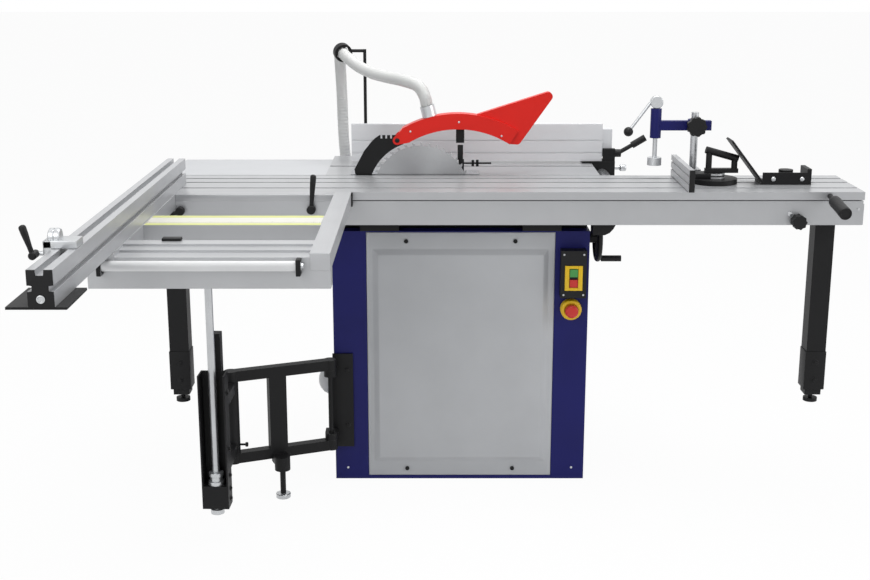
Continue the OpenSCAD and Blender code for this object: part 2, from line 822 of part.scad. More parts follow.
// Outrigger frame: side bars, clamp bar, bar for the swing arm, scale bar and stepped front rail
module crosscut_frame() color("gainsboro") {
    span_x0 = frame_x0 + left_bar_w;
    span_x1 = frame_x1 - bar_w;
    scale_y1 = frame_y1 - scale_y;
    scale_y0 = scale_y1 - scale_l;
    rail_y = frame_y0 + front_rail_l;
    skin = 6;
    difference() {
        union() {
            block([frame_x0, frame_y0, frame_z0], [span_x0, frame_y1, table_z]);
            block([span_x1, frame_y0, frame_z0], [frame_x1, frame_y1, table_z]);
            block([span_x0 - through, clamp_bar_y - clamp_bar_w, clamp_bar_z0], [span_x1 + through, clamp_bar_y, clamp_bar_z1]);
            block([span_x0 - through, arm_post_y - pad_d / 2 - 5, frame_z0],
                [span_x1 + through, arm_post_y + pad_d / 2 + 5, frame_z0 + arm_bar_t]);
            block([span_x0 - through, scale_y0, frame_z0], [span_x1 + through, scale_y1, table_z]);
            block([span_x0 - through, frame_y0, frame_z0], [span_x1 + through, rail_y, table_z]);
            block([frame_x0, frame_y0, frame_z0 - front_lip_h], [frame_x1, frame_y0 + front_lip_t, frame_z0 + through]);
            for (x = [roller_x0 - run_gap - ear_t, roller_x1 + run_gap])
                block([x, roller_y - 13, roller_z - 20], [x + ear_t, frame_y0 + through, roller_z + 16]);
        }
        block([span_x1 + skin, frame_y0 - through, frame_z0 + skin], [frame_x1 - skin, frame_y1 - 2 * skin, table_z - skin]);
        block([frame_x0 + skin, frame_y0 - through, frame_z0 + skin],
            [span_x0 - skin, fence_pivot_y - fence_pin_d, table_z - skin]);
        block([span_x0, scale_y0 + skin, frame_z0 + skin], [span_x1, scale_y1 - skin, table_z - skin]);
        block([span_x0, frame_y0 + skin, frame_z0 - front_lip_h + skin],
            [span_x1, frame_y0 + front_lip_t - skin, table_z - 3 * skin]);
        for (i = [1 : 2])
            block([span_x0, frame_y0 - through, table_z - 5 * i], [span_x1, rail_y - i * 40, table_z + through]);
        bar_x([roller_x0 - ear_t - 2, roller_y, roller_z], roller_pin_d + 2 * pin_gap, roller_x1 - roller_x0 + 2 * ear_t + 4);
        bar_z([cross_x, fence_pivot_y, frame_z0 - through], fence_pin_d + 2 * pin_gap, outrigger_t + 2 * through);
        bar_y([lever_x, clamp_bar_y - clamp_bar_w - through, lever_z], lever_stem_d + 2 * pin_gap, clamp_bar_w / 2);
    }
}

// Lever that clamps the outrigger to the carriage, turning about its screw
module table_lever() color("black") {
    face = clamp_bar_y - clamp_bar_w;
    hub_l = 20;
    grip = [lever_x + 8, face - hub_l / 2, lever_z + 88];
    bar_y([lever_x, face - through, lever_z], lever_stem_d, clamp_bar_w / 2 - 2);
    bar_y([lever_x, face - run_gap - hub_l, lever_z], 24, hub_l);
    ball_rod([lever_x, face - hub_l / 2, lever_z], grip, 14, 17);
}

// Loading roller with its end pins
module front_roller() color("white") {
    bar_x([roller_x0, roller_y, roller_z], roller_d, roller_x1 - roller_x0);
    bar_x([roller_x0 - ear_t, roller_y, roller_z], roller_pin_d, roller_x1 - roller_x0 + 2 * ear_t);
}

// Crosscut fence: a T-slot extrusion with a pivot pin
fence_slot_w = 16;
fence_slot_d = 12;
module crosscut_fence() color("gainsboro") {
    x0 = cross_x - fence_w / 2;
    mid = (cross_z0 + cross_z1) / 2;
    wall = 4;
    difference() {
        block([x0, cross_y0, cross_z0], [x0 + fence_w, cross_y1, cross_z1]);
        block([cross_x - fence_slot_w / 2, cross_y0 - through, cross_z1 - fence_slot_d],
            [cross_x + fence_slot_w / 2, cross_y1 + through, cross_z1 + through]);
        for (s = [-1, 1])
            block([cross_x + s * fence_w / 2 - 10, cross_y0 - through, mid - 6],
                [cross_x + s * fence_w / 2 + 10, cross_y1 + through, mid + 6]);
        block([x0 + wall, cross_y0 - through, cross_z0 + wall], [x0 + fence_w - wall, fence_pivot_y - 60, mid - 12]);
    }
    bar_z([cross_x, fence_pivot_y, cross_z0 - fence_pin_l], fence_pin_d, fence_pin_l + 1);
}

// Black plate under the fence's outer end
module fence_end_plate() color("black")
    block([cross_x - 68, cross_y0, cross_z0 - 5], [cross_x + 46, cross_y0 + 147, cross_z0]);

// Stop that slides along the crosscut fence, with its clamping lever
stop_w = 50;
module flip_stop() color("dimgray") {
    x0 = cross_x - fence_w / 2;
    block([x0 - 18, stop_y, cross_z1 + run_gap], [x0 + fence_w, stop_y + stop_w, cross_z1 + 16]);
    block([x0 - 18, stop_y, cross_z1 - 30], [x0 - run_gap, stop_y + stop_w, cross_z1 + 16]);
    bar_x([x0 - 12, stop_y + stop_w / 2, cross_z1 + 20], 34, 26);
    bar_y([x0 - 34, stop_y - 22, cross_z1 - 10], 16, 30);
    bar_x([x0 - 40, stop_y + 6, cross_z1 - 10], 10, 26);
    strut([x0 - 34, stop_y - 14, cross_z1 - 10], [x0 - 52, stop_y - 14, cross_z1 + 48], 13);
}

// Protractor base of the mitre gauge, pinned to the carriage
module mitre_base() color("black") {
    bar_z([mitre_x, mitre_y, table_z], mitre_d, mitre_t);
    bar_z([mitre_x, mitre_y, mitre_pin_z0], 11.8, table_z - mitre_pin_z0 + through);
    bar_z([mitre_x, mitre_y, table_z + mitre_t - through], 14, 17 + through);
}

// Mitre fence along Y, with its arm to the pivot
mitre_fence_x = 612;
mitre_fence_h = 62;
mitre_fence_l = carriage_w + 13;
mitre_arm_z = table_z + mitre_t + run_gap;
module mitre_fence() color("silver")
    difference() {
        union() {
            block([mitre_fence_x, carriage_y0 - 18, table_z + 2],
                [mitre_fence_x + 14, carriage_y0 - 18 + mitre_fence_l, table_z + mitre_fence_h]);
            block([mitre_fence_x + 13, mitre_y - 26, mitre_arm_z], [mitre_x, mitre_y + 26, mitre_arm_z + 14]);
            bar_z([mitre_x, mitre_y, mitre_arm_z], 60, 14);
            block([mitre_fence_x + 13, clamp_y - 20, mitre_arm_z], [clamp_x + 20, clamp_y + 46, mitre_arm_z + 14]);
        }
        bar_z([mitre_x, mitre_y, mitre_arm_z - through], 14 + 2 * pin_gap, 16 + 2 * through);
        for (z = [table_z + 20, table_z + 42])
            block([mitre_fence_x - through, carriage_y0 - 20, z], [mitre_fence_x + 3, carriage_y1, z + 5]);
    }

// Bridge handle on the mitre gauge: a foot, two posts and a sloping grip
handle_left = -16;
handle_right = 56;
handle_high = 62;
handle_low = 42;
handle_d = 20;
handle_post_d = 17;
module mitre_handle() color("black") {
    slope = unit([handle_right - handle_left, 0, handle_low - handle_high]);
    end = slope * handle_d / 2;
    translate([mitre_x, mitre_y, mitre_arm_z + 14])
        difference() {
            union() {
                translate([handle_left - handle_d / 2, -handle_d / 2, run_gap])
                    cube([handle_right - handle_left + handle_d, handle_d, 12]);
                bar_z([handle_left, 0, run_gap], handle_post_d, handle_high);
                bar_z([handle_right, 0, run_gap], handle_post_d, handle_low);
                strut([handle_left, 0, handle_high] - end, [handle_right, 0, handle_low] + end, handle_d);
            }
            bar_z([0, 0, -through], 17, 4 + through);
        }
}

// Hold-down clamp: column, arm, screw rod, cam lever and knob
arm_z0 = table_z + 135;
arm_z1 = table_z + 170;
module clamp_column() color("silver")
    bar_z([clamp_x, clamp_y, mitre_arm_z + 14], clamp_col_d, clamp_top - mitre_arm_z - 14);
module clamp_arm() color("navy")
    difference() {
        union() {
            block([clamp_rod_x, clamp_y - 11, arm_z0 + 4], [clamp_x + 46, clamp_y + 11, arm_z1 - 4]);
            bar_z([clamp_x, clamp_y, arm_z0], 40, arm_z1 - arm_z0);
            bar_z([clamp_rod_x, clamp_y, arm_z0 - 18], 31, arm_z1 - arm_z0 + 48);
        }
        bar_z([clamp_x, clamp_y, arm_z0 - through], clamp_col_d, arm_z1 - arm_z0 + 2 * through);
        bar_z([clamp_rod_x, clamp_y, arm_z0 - 20], clamp_rod_d + 2 * pin_gap, arm_z1 - arm_z0 + 60);
        bar_y([clamp_x, clamp_y - 40, (arm_z0 + arm_z1) / 2], 8 + 2 * pin_gap, 40);
    }
module clamp_rod() color("silver") {
    bar_z([clamp_rod_x, clamp_y, table_z + 50], clamp_rod_d, 136);
    bar_z([clamp_rod_x, clamp_y, table_z + 39], 40, 22);
}
lever_hub_z = arm_z1 + 30 + 18 + run_gap;
module clamp_lever() color("dimgray") {
    bar_y([clamp_rod_x, clamp_y - 10, lever_hub_z], 36, 20);
    ball_rod([clamp_rod_x - 16, clamp_y, lever_hub_z], [clamp_rod_x - 77, clamp_y, lever_hub_z - 84], 9, 27);
}
module clamp_knob() color("black") {
    z = (arm_z0 + arm_z1) / 2;
    star_knob(clamp_x, clamp_y - 20 - run_gap, z, 56, 22);
    bar_y([clamp_x, clamp_y - 24, z], 8, 12);
}

// Edging shoe: a bent plate held on the carriage by a knob
shoe_x = carriage_x1 - 186;
module edging_shoe() color("black") {
    y = carriage_y0 + 150;
    block([shoe_x - 70, y - 34, table_z], [shoe_x + 70, y + 40, table_z + 6]);
    block([shoe_x + 58, y - 34, table_z + 5], [shoe_x + 70, y + 40, table_z + 44]);
    translate([shoe_x - 66, y - 34, table_z + 2])
        rotate([0, -38, 0])
            cube([6, 74, 150]);
    block([shoe_x - 66, y - 34, table_z], [shoe_x + 70, y - 30, table_z + 34]);
    bar_z([shoe_x + 6, y, table_z + 5], 40, 33);
    for (x = [shoe_x - 36, shoe_x + 44])
        bar_z([x, y, table_z + 5], 16, 12);
}

// Knob that locks the carriage
module lock_knob() color("black") {
    x = carriage_x1 - 177;
    z = beam_z0 + 12;
    star_knob(x, beam_y0 - run_gap, z, 40, 30);
}

// Rip fence: face extrusion with grooves and a box profile behind it
module rip_fence() color("lightgray") {
    difference() {
        union() {
            block([rip_x0, rip_y0, rip_z0], [rip_x0 + rip_l, rip_y0 + rip_t, rip_z0 + rip_h]);
            block([rip_x0, rip_y0 + rip_t - through, rip_z0 + 12],
                [rip_x0 + rip_l + 32, rip_y0 + rip_t + rip_back_t, rip_z0 + rip_h - 18]);
        }
        for (z = [rip_z0 + 24, rip_z0 + 62])
            block([rip_x0 - through, rip_y0 - through, z], [rip_x0 + rip_l + through, rip_y0 + 4, z + 4]);
        block([rip_x0 - through, rip_y0 + rip_t + 4, rip_z0 + 18],
            [rip_x0 + rip_l - 60, rip_y0 + rip_t + rip_back_t - 5, rip_z0 + rip_h - 24]);
    }
}

// Fence carriage: a clamp block round the rail with a plate under the fence
module fence_carriage() color("black") {
    y0 = rip_y0 - 7;
    y1 = rip_y0 + 58;
    plate_x0 = table_x0 + table_w - 28;
    x0 = table_x0 + table_w + 4;
    x1 = rail_x + rail_d / 2 + 18;
    difference() {
        union() {
            block([plate_x0, y0, table_z + run_gap], [x1, y1, rip_z0]);
            block([x0, y0, rail_z - rail_d / 2 - 8], [x1, y1, table_z + 3]);
            block([rip_x0 + rip_l + 10, rip_y0 + rip_t + rip_back_t, rip_z0 - 4], [x1, y1 + 2, rip_z0 + 26]);
            block([rip_x0 + rip_l + 4, rip_y0 - 3, rip_z0 - 4], [x1, rip_y0 + rip_t - 2, rip_lever_z + 14]);
        }
        bar_y([rail_x, y0 - through, rail_z], rail_d + 2 * pin_gap, y1 - y0 + 4 * through);
        bar_x([x1 - 14, rip_lever_y, rip_lever_z], lock_pin_d + 2 * pin_gap, 20);
    }
}
lock_pin_d = 12;

// Lever that locks the rip fence on its rail
module fence_lock_lever() color("black") {
    x = rail_x + rail_d / 2 + 18;
    y = rip_lever_y;
    z = rip_lever_z;
    bar_x([x - 12, y, z], lock_pin_d, 14);
    bar_x([x + run_gap, y, z], 24, 18);
    strut([x + 10, y, z], [x + 72, y, z + 36], 13);
    strut([x + 52, y, z + 24], [x + 92, y, z + 48], 21);
}

// Hinge plate of the swing arm, with two lugs and the pin
module arm_hinge_plate() color("black")
    difference() {
        union() {
            block([-cab_x - 4, cab_front - 8, arm_low - 8], [-cab_x + 55, cab_front, arm_high + 4]);
            for (z = [arm_low + arm_bar + run_gap, arm_high - arm_bar - run_gap - lug_t]) {
                block([arm_x - 18, arm_y, z], [arm_x + 18, cab_front - 7, z + lug_t]);
                bar_z([arm_x, arm_y, z], 36, lug_t);
            }
            bar_z([arm_x, arm_y, arm_low], arm_pin_d, arm_high - arm_low);
        }
        block([-cab_x - 40, cab_front, 0], [-cab_x + 100, 0, cab_h]);
    }

// Inner link: two bars with hinge eyes, a middle upright and a foot screw
module arm_link_inner() color("black") {
    mid = link_inner_l * 0.55;
    eye_d = 36;
    foot_side = 40;
    translate([arm_x, arm_y, 0])
        rotate([0, 0, arm_angle])
            difference() {
                union() {
                    for (z = [arm_low, arm_high - arm_bar]) {
                        bar_z([0, 0, z], eye_d, arm_bar);
                        block([0, -14, z], [link_inner_l, 14, z + arm_bar]);
                        translate([link_inner_l, 0, z])
                            cylinder(d = knuckle_d - 2, h = arm_bar);
                    }
                    block([mid - 25, -14, arm_low], [mid + 25, 14, arm_high]);
                    translate([link_inner_l, 0, arm_low])
                        cylinder(d = arm_pin_d, h = arm_high - arm_low);
                    block([mid - 20, 0, arm_low - 12], [mid + 20, foot_side, arm_low + 14]);
                    translate([mid, foot_side, arm_low - 26])
                        cylinder(d = 44, h = 40);
                    translate([mid, foot_side, 4])
                        cylinder(d = 16, h = arm_low - 20);
                    translate([mid, foot_side, 2])
                        cylinder(d = 40, h = 12);
                }
                bar_z([0, 0, arm_low - through], arm_pin_d + 2 * pin_gap, arm_high - arm_low + 2 * through);
            }
}

// Outer link: hinge tube, two bars and a channel whose foot block guides the post
channel_w = 70;
channel_z0 = 87;
channel_z1 = 455;
channel_t = 4;
channel_back = 30;
channel_front = 22;
channel_foot = 63;
tube_w = 28;
tube_z1 = 555;
module arm_link_outer() color("black") {
    z0 = arm_low + arm_bar + run_gap;
    z1 = arm_high - arm_bar - run_gap;
    back = link_outer_l - channel_back;
    translate([elbow_x, elbow_y, 0])
        rotate([0, 0, outer_angle])
            difference() {
                union() {
                    translate([0, 0, z0])
                        cylinder(d = knuckle_d, h = z1 - z0);
                    for (z = [z0, z1 - arm_bar])
                        block([0, -14, z], [back + channel_t / 2, 14, z + arm_bar]);
                    block([back, -channel_w / 2, channel_z0], [back + channel_t, channel_w / 2, channel_z1]);
                    for (s = [-channel_w / 2, channel_w / 2 - channel_t])
                        block([back, s, channel_z0], [link_outer_l + channel_front, s + channel_t, channel_z1]);
                    block([back, -channel_w / 2, channel_z0],
                        [link_outer_l + channel_front, channel_w / 2, channel_z0 + channel_foot]);
                    block([back - tube_w, -tube_w / 2 + 5, channel_z1 - 80], [back + channel_t / 2, tube_w / 2 + 5, tube_z1]);
                }
                bar_z([0, 0, z0 - through], arm_pin_d + 2 * pin_gap, z1 - z0 + 2 * through);
                bar_z([link_outer_l, 0, channel_z0 - through], post_d + 2 * pin_gap, channel_foot + 2 * through);
            }
}

// Post that carries the outrigger on a glide pad
module arm_post() color("silver") {
    bar_z([arm_post_x, arm_post_y, arm_low], post_d, frame_z0 - 12 - arm_low);
    bar_z([arm_post_x, arm_post_y, frame_z0 - 14], pad_d, 14 - run_gap);
}

// Hanger for the hose: post clamped to the table's back edge, with a ring
ring_c = [-362, 232, 1209];
ring_r = hose_d / 2 + 3;
ring_t = 7;
post_x = -293;
hanger_d = 10;
module hose_post() color("black") {
    y = table_y1 + 8;
    block([post_x - 14, table_y1, table_under + 4], [post_x + 14, table_y1 + 16, table_z - 4]);
    bar_z([post_x, y, table_z - 10], hanger_d, ring_c[2] + 10 - table_z + 10);
    strut([post_x, y, ring_c[2] + 5], [ring_c[0] + ring_r + 3, ring_c[1], ring_c[2] + 5], hanger_d);
    translate(ring_c)
        rotate([-78, 0, 20])
            translate([0, 0, -6])
                rotate_extrude()
                    translate([ring_r, -6])
                        square([ring_t, 24]);
}

// Dust port on the cabinet's back, with a spigot for the hose and a large outlet
hose_turns = 8;
spigot = [-335, cab_back + 56];
spigot_d = (hose_d - 2 * hose_wall) * cos(180 / hose_turns) - 2 * run_gap;
port_z0 = 380;
port_z1 = 480;
outlet_d = 100;
module dust_port() color("black")
    difference() {
        union() {
            block([-360, cab_back, port_z0], [-200, cab_back + 90, port_z1]);
            bar_z([spigot[0], spigot[1], port_z1 - through], spigot_d, 50);
            bar_y([-262, cab_back + 89, (port_z0 + port_z1) / 2], outlet_d - 6, 51);
        }
        block([-356, cab_back + 4, port_z0 + 4], [-204, cab_back + 86, port_z1 - 4]);
        bar_y([-262, cab_back + 80, (port_z0 + port_z1) / 2], outlet_d - 12, 70);
        bar_z([spigot[0], spigot[1], port_z1 - 10], spigot_d - 5, 70);
    }

// Dust hose: route from the guard's collar through the ring and down to the port
hose_route = [[-96.5, -140, 1085.5], [-104, -140, 1115], [-124, -116, 1140], [-168, -62, 1150], [-215, 8, 1153],
    [-262, 80, 1158], [-310, 146, 1174], [-350, 204, 1199], [-372, 264, 1213], [-377, 316, 1188],
    [-377, 345, 1136], [-375, 356, 1060], [-370, 356, 900], [-352, 356, 740], [-335, 356, 600], [-335, 356, 520]];
hose_rib = 1.2;
function spline_at(i, t) =
    let (n = len(hose_route) - 1,
        a = hose_route[max(i - 1, 0)], b = hose_route[i], c = hose_route[i + 1], d = hose_route[min(i + 2, n)])
    0.5 * (2 * b + (c - a) * t + (2 * a - 5 * b + 4 * c - d) * t * t + (3 * b - a - 3 * c + d) * t * t * t);
function hose_point(s) =
    let (n = len(hose_route) - 1, p = min(s * n, n - 0.0001), i = floor(p))
    spline_at(i, p - i);
function unit(v) = v / norm(v);
function hose_ring(s, r) =
    let (t = unit(hose_point(min(s + 0.002, 1)) - hose_point(max(s - 0.002, 0))),
        u = unit(cross(t, [1, 0.6, 0])), w = cross(t, u))
    [for (k = [0 : hose_turns - 1])
        hose_point(s) + r * (cos(k * 360 / hose_turns) * u + sin(k * 360 / hose_turns) * w)];
function at(base, i, k) = base + i * hose_turns + k % hose_turns;
module dust_hose() color("gainsboro") {
    n = 2 * hose_ribs;
    m = 60;
    r = hose_d / 2;
    outer = [for (i = [0 : n]) each hose_ring(i / n, i % 2 == 0 ? r - hose_rib : r)];
    inner = [for (i = [0 : m]) each hose_ring(i / m, r - hose_wall)];
    k0 = len(outer);
    faces = concat(
        [for (i = [0 : n - 1], k = [0 : hose_turns - 1]) each [
            [at(0, i, k), at(0, i + 1, k), at(0, i, k + 1)],
            [at(0, i, k + 1), at(0, i + 1, k), at(0, i + 1, k + 1)]]],
        [for (i = [0 : m - 1], k = [0 : hose_turns - 1]) each [
            [at(k0, i, k), at(k0, i, k + 1), at(k0, i + 1, k)],
            [at(k0, i, k + 1), at(k0, i + 1, k + 1), at(k0, i + 1, k)]]],
        [for (k = [0 : hose_turns - 1]) each [
            [at(0, 0, k), at(0, 0, k + 1), at(k0, 0, k)],
            [at(0, 0, k + 1), at(k0, 0, k + 1), at(k0, 0, k)],
            [at(0, n, k), at(k0, m, k), at(0, n, k + 1)],
            [at(0, n, k + 1), at(k0, m, k), at(k0, m, k + 1)]]]);
    polyhedron(concat(outer, inner), faces);
}

cabinet_shell();
front_panel();
panel_screws();
main_table();
table_insert();
extension_table();
rip_rail();
guide_beam();
guide_rods();
beam_brackets();
left_leg_sleeve();
right_leg_sleeve();
switch_box();
estop_base();
hose_post();
trunnion_brackets();
arm_hinge_plate();
dust_port();
dust_hose();
tilt_cradle();
lift_carrier();
motor();
drive_belt();
riving_knife();
saw_blade();
arbor_shaft();
motor_pulley();
blade_guard();
guard_collar();
carriage_top();
push_handle();
crosscut_frame();
table_lever();
front_roller();
crosscut_fence();
fence_end_plate();
flip_stop();
mitre_base();
mitre_fence();
mitre_handle();
clamp_column();
clamp_arm();
clamp_rod();
clamp_lever();
clamp_knob();
edging_shoe();
lock_knob();
rip_fence();
fence_carriage();
fence_lock_lever();
left_leg_foot();
right_leg_foot();
arm_link_inner();
arm_link_outer();
arm_post();
height_handwheel();
tilt_handwheel();
start_button();
stop_button();
estop_button();
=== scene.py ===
"""Looks of the sliding table saw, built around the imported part. Metres, in the part's own frame."""

import json
import math

import bmesh
import bpy
from mathutils import Matrix, Vector


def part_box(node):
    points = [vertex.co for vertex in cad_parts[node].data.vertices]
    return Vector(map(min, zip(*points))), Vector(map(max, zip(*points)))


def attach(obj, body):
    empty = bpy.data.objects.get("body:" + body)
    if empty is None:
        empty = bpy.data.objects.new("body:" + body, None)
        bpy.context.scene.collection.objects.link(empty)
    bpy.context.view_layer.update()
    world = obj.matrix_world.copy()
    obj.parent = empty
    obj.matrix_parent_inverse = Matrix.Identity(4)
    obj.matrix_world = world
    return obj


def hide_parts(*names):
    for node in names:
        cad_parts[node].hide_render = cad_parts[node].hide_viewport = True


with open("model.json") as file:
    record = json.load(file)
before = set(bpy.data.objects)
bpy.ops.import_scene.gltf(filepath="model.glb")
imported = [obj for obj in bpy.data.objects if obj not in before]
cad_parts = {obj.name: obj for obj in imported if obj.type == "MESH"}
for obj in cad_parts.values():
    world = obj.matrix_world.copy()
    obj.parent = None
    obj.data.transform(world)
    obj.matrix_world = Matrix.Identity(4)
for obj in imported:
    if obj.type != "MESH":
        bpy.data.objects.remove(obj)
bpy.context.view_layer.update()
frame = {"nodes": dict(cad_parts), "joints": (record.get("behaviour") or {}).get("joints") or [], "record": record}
nodes = frame["nodes"]
scene = bpy.context.scene
X, Y, Z = Vector((1, 0, 0)), Vector((0, 1, 0)), Vector((0, 0, 1))

# Hinge places of the part
pivot = {joint["name"]: Vector(joint["pos_m"]) for joint in frame["joints"] if "pos_m" in joint}

# Camera fitted to the photograph
CAMERA_PLACE = (-0.073, -3.996, 1.5226)
CAMERA_PITCH = 14.35
CAMERA_LENS = 55.16
SENSOR_WIDTH = 36

# Main faces of the part
TABLE_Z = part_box("main_table")[1].z
CAB_LOW, CAB_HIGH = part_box("cabinet_shell")
CAB_FRONT = CAB_LOW.y
BEAM_LOW, BEAM_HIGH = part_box("guide_beam")
CARRIAGE_LOW, CARRIAGE_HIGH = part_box("carriage_top")
GUARD_LOW, GUARD_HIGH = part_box("blade_guard")
FENCE_LOW, FENCE_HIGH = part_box("crosscut_fence")
FENCE_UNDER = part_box("fence_end_plate")[1].z

# Bars of the outrigger's frame
FRAME_LOW, FRAME_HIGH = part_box("crosscut_frame")
LEFT_RAIL = (FRAME_LOW.x, FRAME_LOW.x + 0.060)
RIGHT_RAIL = (FRAME_HIGH.x - 0.045, FRAME_HIGH.x)
RAIL_FRONT = FRAME_LOW.y + 0.027
RAIL_UNDER = TABLE_Z - 0.039
REAR_BAR_FRONT = FRAME_HIGH.y - 0.041

# Small gaps that keep a trim face off the face behind it, and inset caps
HAIR = 0.0001
INSET = 0.0004

# Route of the dust hose, as in the part
HOSE_ROUTE = [
    (-0.0965, -0.140, 1.0855), (-0.104, -0.140, 1.115), (-0.124, -0.116, 1.140), (-0.168, -0.062, 1.150),
    (-0.215, 0.008, 1.153), (-0.262, 0.080, 1.158), (-0.310, 0.146, 1.174), (-0.350, 0.204, 1.199),
    (-0.372, 0.264, 1.213), (-0.377, 0.316, 1.188), (-0.377, 0.345, 1.136), (-0.375, 0.356, 1.060),
    (-0.370, 0.356, 0.900), (-0.352, 0.356, 0.740), (-0.335, 0.356, 0.600), (-0.335, 0.356, 0.520)]
HOSE_D = 0.036
HOSE_WALL = 0.002
HOSE_RIBS = 240
HOSE_RIB_DEPTH = 0.0011
HOSE_SIDES = 24


# Finishes
def srgb(red, green, blue):
    """Linear colour from the 0 to 255 values seen on a screen."""
    linear = []
    for value in (red, green, blue):
        value /= 255
        linear.append(value / 12.92 if value <= 0.04045 else ((value + 0.055) / 1.055) ** 2.4)
    return (*linear, 1.0)


def shade(colour, factor):
    """The colour made lighter or darker."""
    return tuple(min(1.0, c * factor) for c in colour[:3]) + (1.0,)


def add(tree, kind, inputs=None, **settings):
    """New shader node with its sockets set or linked."""
    node = tree.nodes.new("ShaderNode" + kind)
    for key, value in settings.items():
        setattr(node, key, value)
    for key, value in (inputs or {}).items():
        if isinstance(value, bpy.types.NodeSocket):
            tree.links.new(value, node.inputs[key])
        else:
            node.inputs[key].default_value = value
    return node


def maths(tree, operation, *values):
    """Output of a Math node."""
    return add(tree, "Math", dict(enumerate(values)), operation=operation).outputs[0]


def mix_colours(tree, share, first, second):
    """Colour between first and second. A Mix node's colour sockets are 6 and 7, and 2 on its output side."""
    return add(tree, "Mix", {0: share, 6: first, 7: second}, data_type="RGBA").outputs[2]


def map_range(tree, value, **limits):
    """Output of a Map Range node; limits are from_min, from_max, to_min and to_max."""
    sockets = {name.replace("_", " ").title(): limit for name, limit in limits.items()}
    return add(tree, "MapRange", {"Value": value, **sockets}).outputs["Result"]


def ring_marks_and_sheen(tree, coord, centre, colour, mixed):
    """Height of turning marks round a centre, and the colour with painted sheen: darker streaks that fan out from
    it and stand in for the light on the turned disc.
    """
    moved = add(tree, "Mapping", {"Vector": coord, "Location": -Vector(centre)}).outputs["Vector"]
    marks = add(tree, "TexWave", {"Vector": moved, "Scale": 120.0, "Distortion": 0.6, "Detail": 2.0},
                wave_type="RINGS", rings_direction="SPHERICAL").outputs["Fac"]
    spread = add(tree, "SeparateXYZ", {"Vector": moved}).outputs
    # Painted sheen: the colour darkens in streaks by angle round the centre
    angle = maths(tree, "ARCTAN2", spread[2], spread[0])
    sheen_wave = maths(tree, "SINE", maths(tree, "MULTIPLY", angle, 4.0))
    sheen_share = map_range(tree, sheen_wave, from_min=-1.0, to_min=0.0, to_max=0.5)
    return marks, mix_colours(tree, sheen_share, mixed, shade(colour, 0.62))


def surface(name, colour, rough, metallic=0.0, grain=900.0, stretch=(1, 1, 1), bump=0.1, mottle=0.06,
            wear=0.0, edge=0.0009, gloss=0.5, rings_and_sheen_centre=None):
    """Procedural finish: broad mottling, fine grain or brushing, softened and worn edges."""
    material = bpy.data.materials.new(name)
    material.use_nodes = True
    tree = material.node_tree
    tree.nodes.clear()
    coord = add(tree, "TexCoord").outputs["Object"]
    broad = add(tree, "TexNoise", {"Vector": coord, "Scale": 9.0, "Detail": 5.0}).outputs["Fac"]
    swing = map_range(tree, broad, from_min=0.3, from_max=0.7)
    mixed = mix_colours(tree, swing, shade(colour, 1 - mottle), shade(colour, 1 + mottle))
    lined = add(tree, "Mapping", {"Vector": coord, "Scale": stretch}).outputs["Vector"]
    fine = add(tree, "TexNoise", {"Vector": lined, "Scale": grain, "Detail": 3.0}).outputs["Fac"]
    # Round a given centre: turning marks in the bump, and painted sheen streaks in the colour
    if rings_and_sheen_centre:
        fine, mixed = ring_marks_and_sheen(tree, coord, rings_and_sheen_centre, colour, mixed)
    soft = add(tree, "Bevel", {"Radius": edge}, samples=4).outputs["Normal"]
    bumped = add(tree, "Bump", {"Strength": bump, "Distance": 0.0006, "Height": fine, "Normal": soft})
    if wear:
        flat = add(tree, "NewGeometry").outputs["Normal"]
        turn = add(tree, "VectorMath", {0: soft, 1: flat}, operation="DOT_PRODUCT").outputs["Value"]
        mask = map_range(tree, turn, from_min=1.0, from_max=0.8, to_max=wear)
        mixed = mix_colours(tree, maths(tree, "MULTIPLY", mask, swing), mixed, (0.45, 0.45, 0.46, 1.0))
    shader = add(tree, "BsdfPrincipled", {
        "Base Color": mixed, "Metallic": metallic, "Specular IOR Level": gloss,
        "Roughness": map_range(tree, fine, to_min=rough - 0.07, to_max=rough + 0.07),
        "Normal": bumped.outputs["Normal"]})
    add(tree, "OutputMaterial", {"Surface": shader.outputs["BSDF"]})
    return material


# Scales that draw the grain out along X or Y
BRUSH_X, BRUSH_Y = (0.02, 1, 1), (1, 0.02, 1)

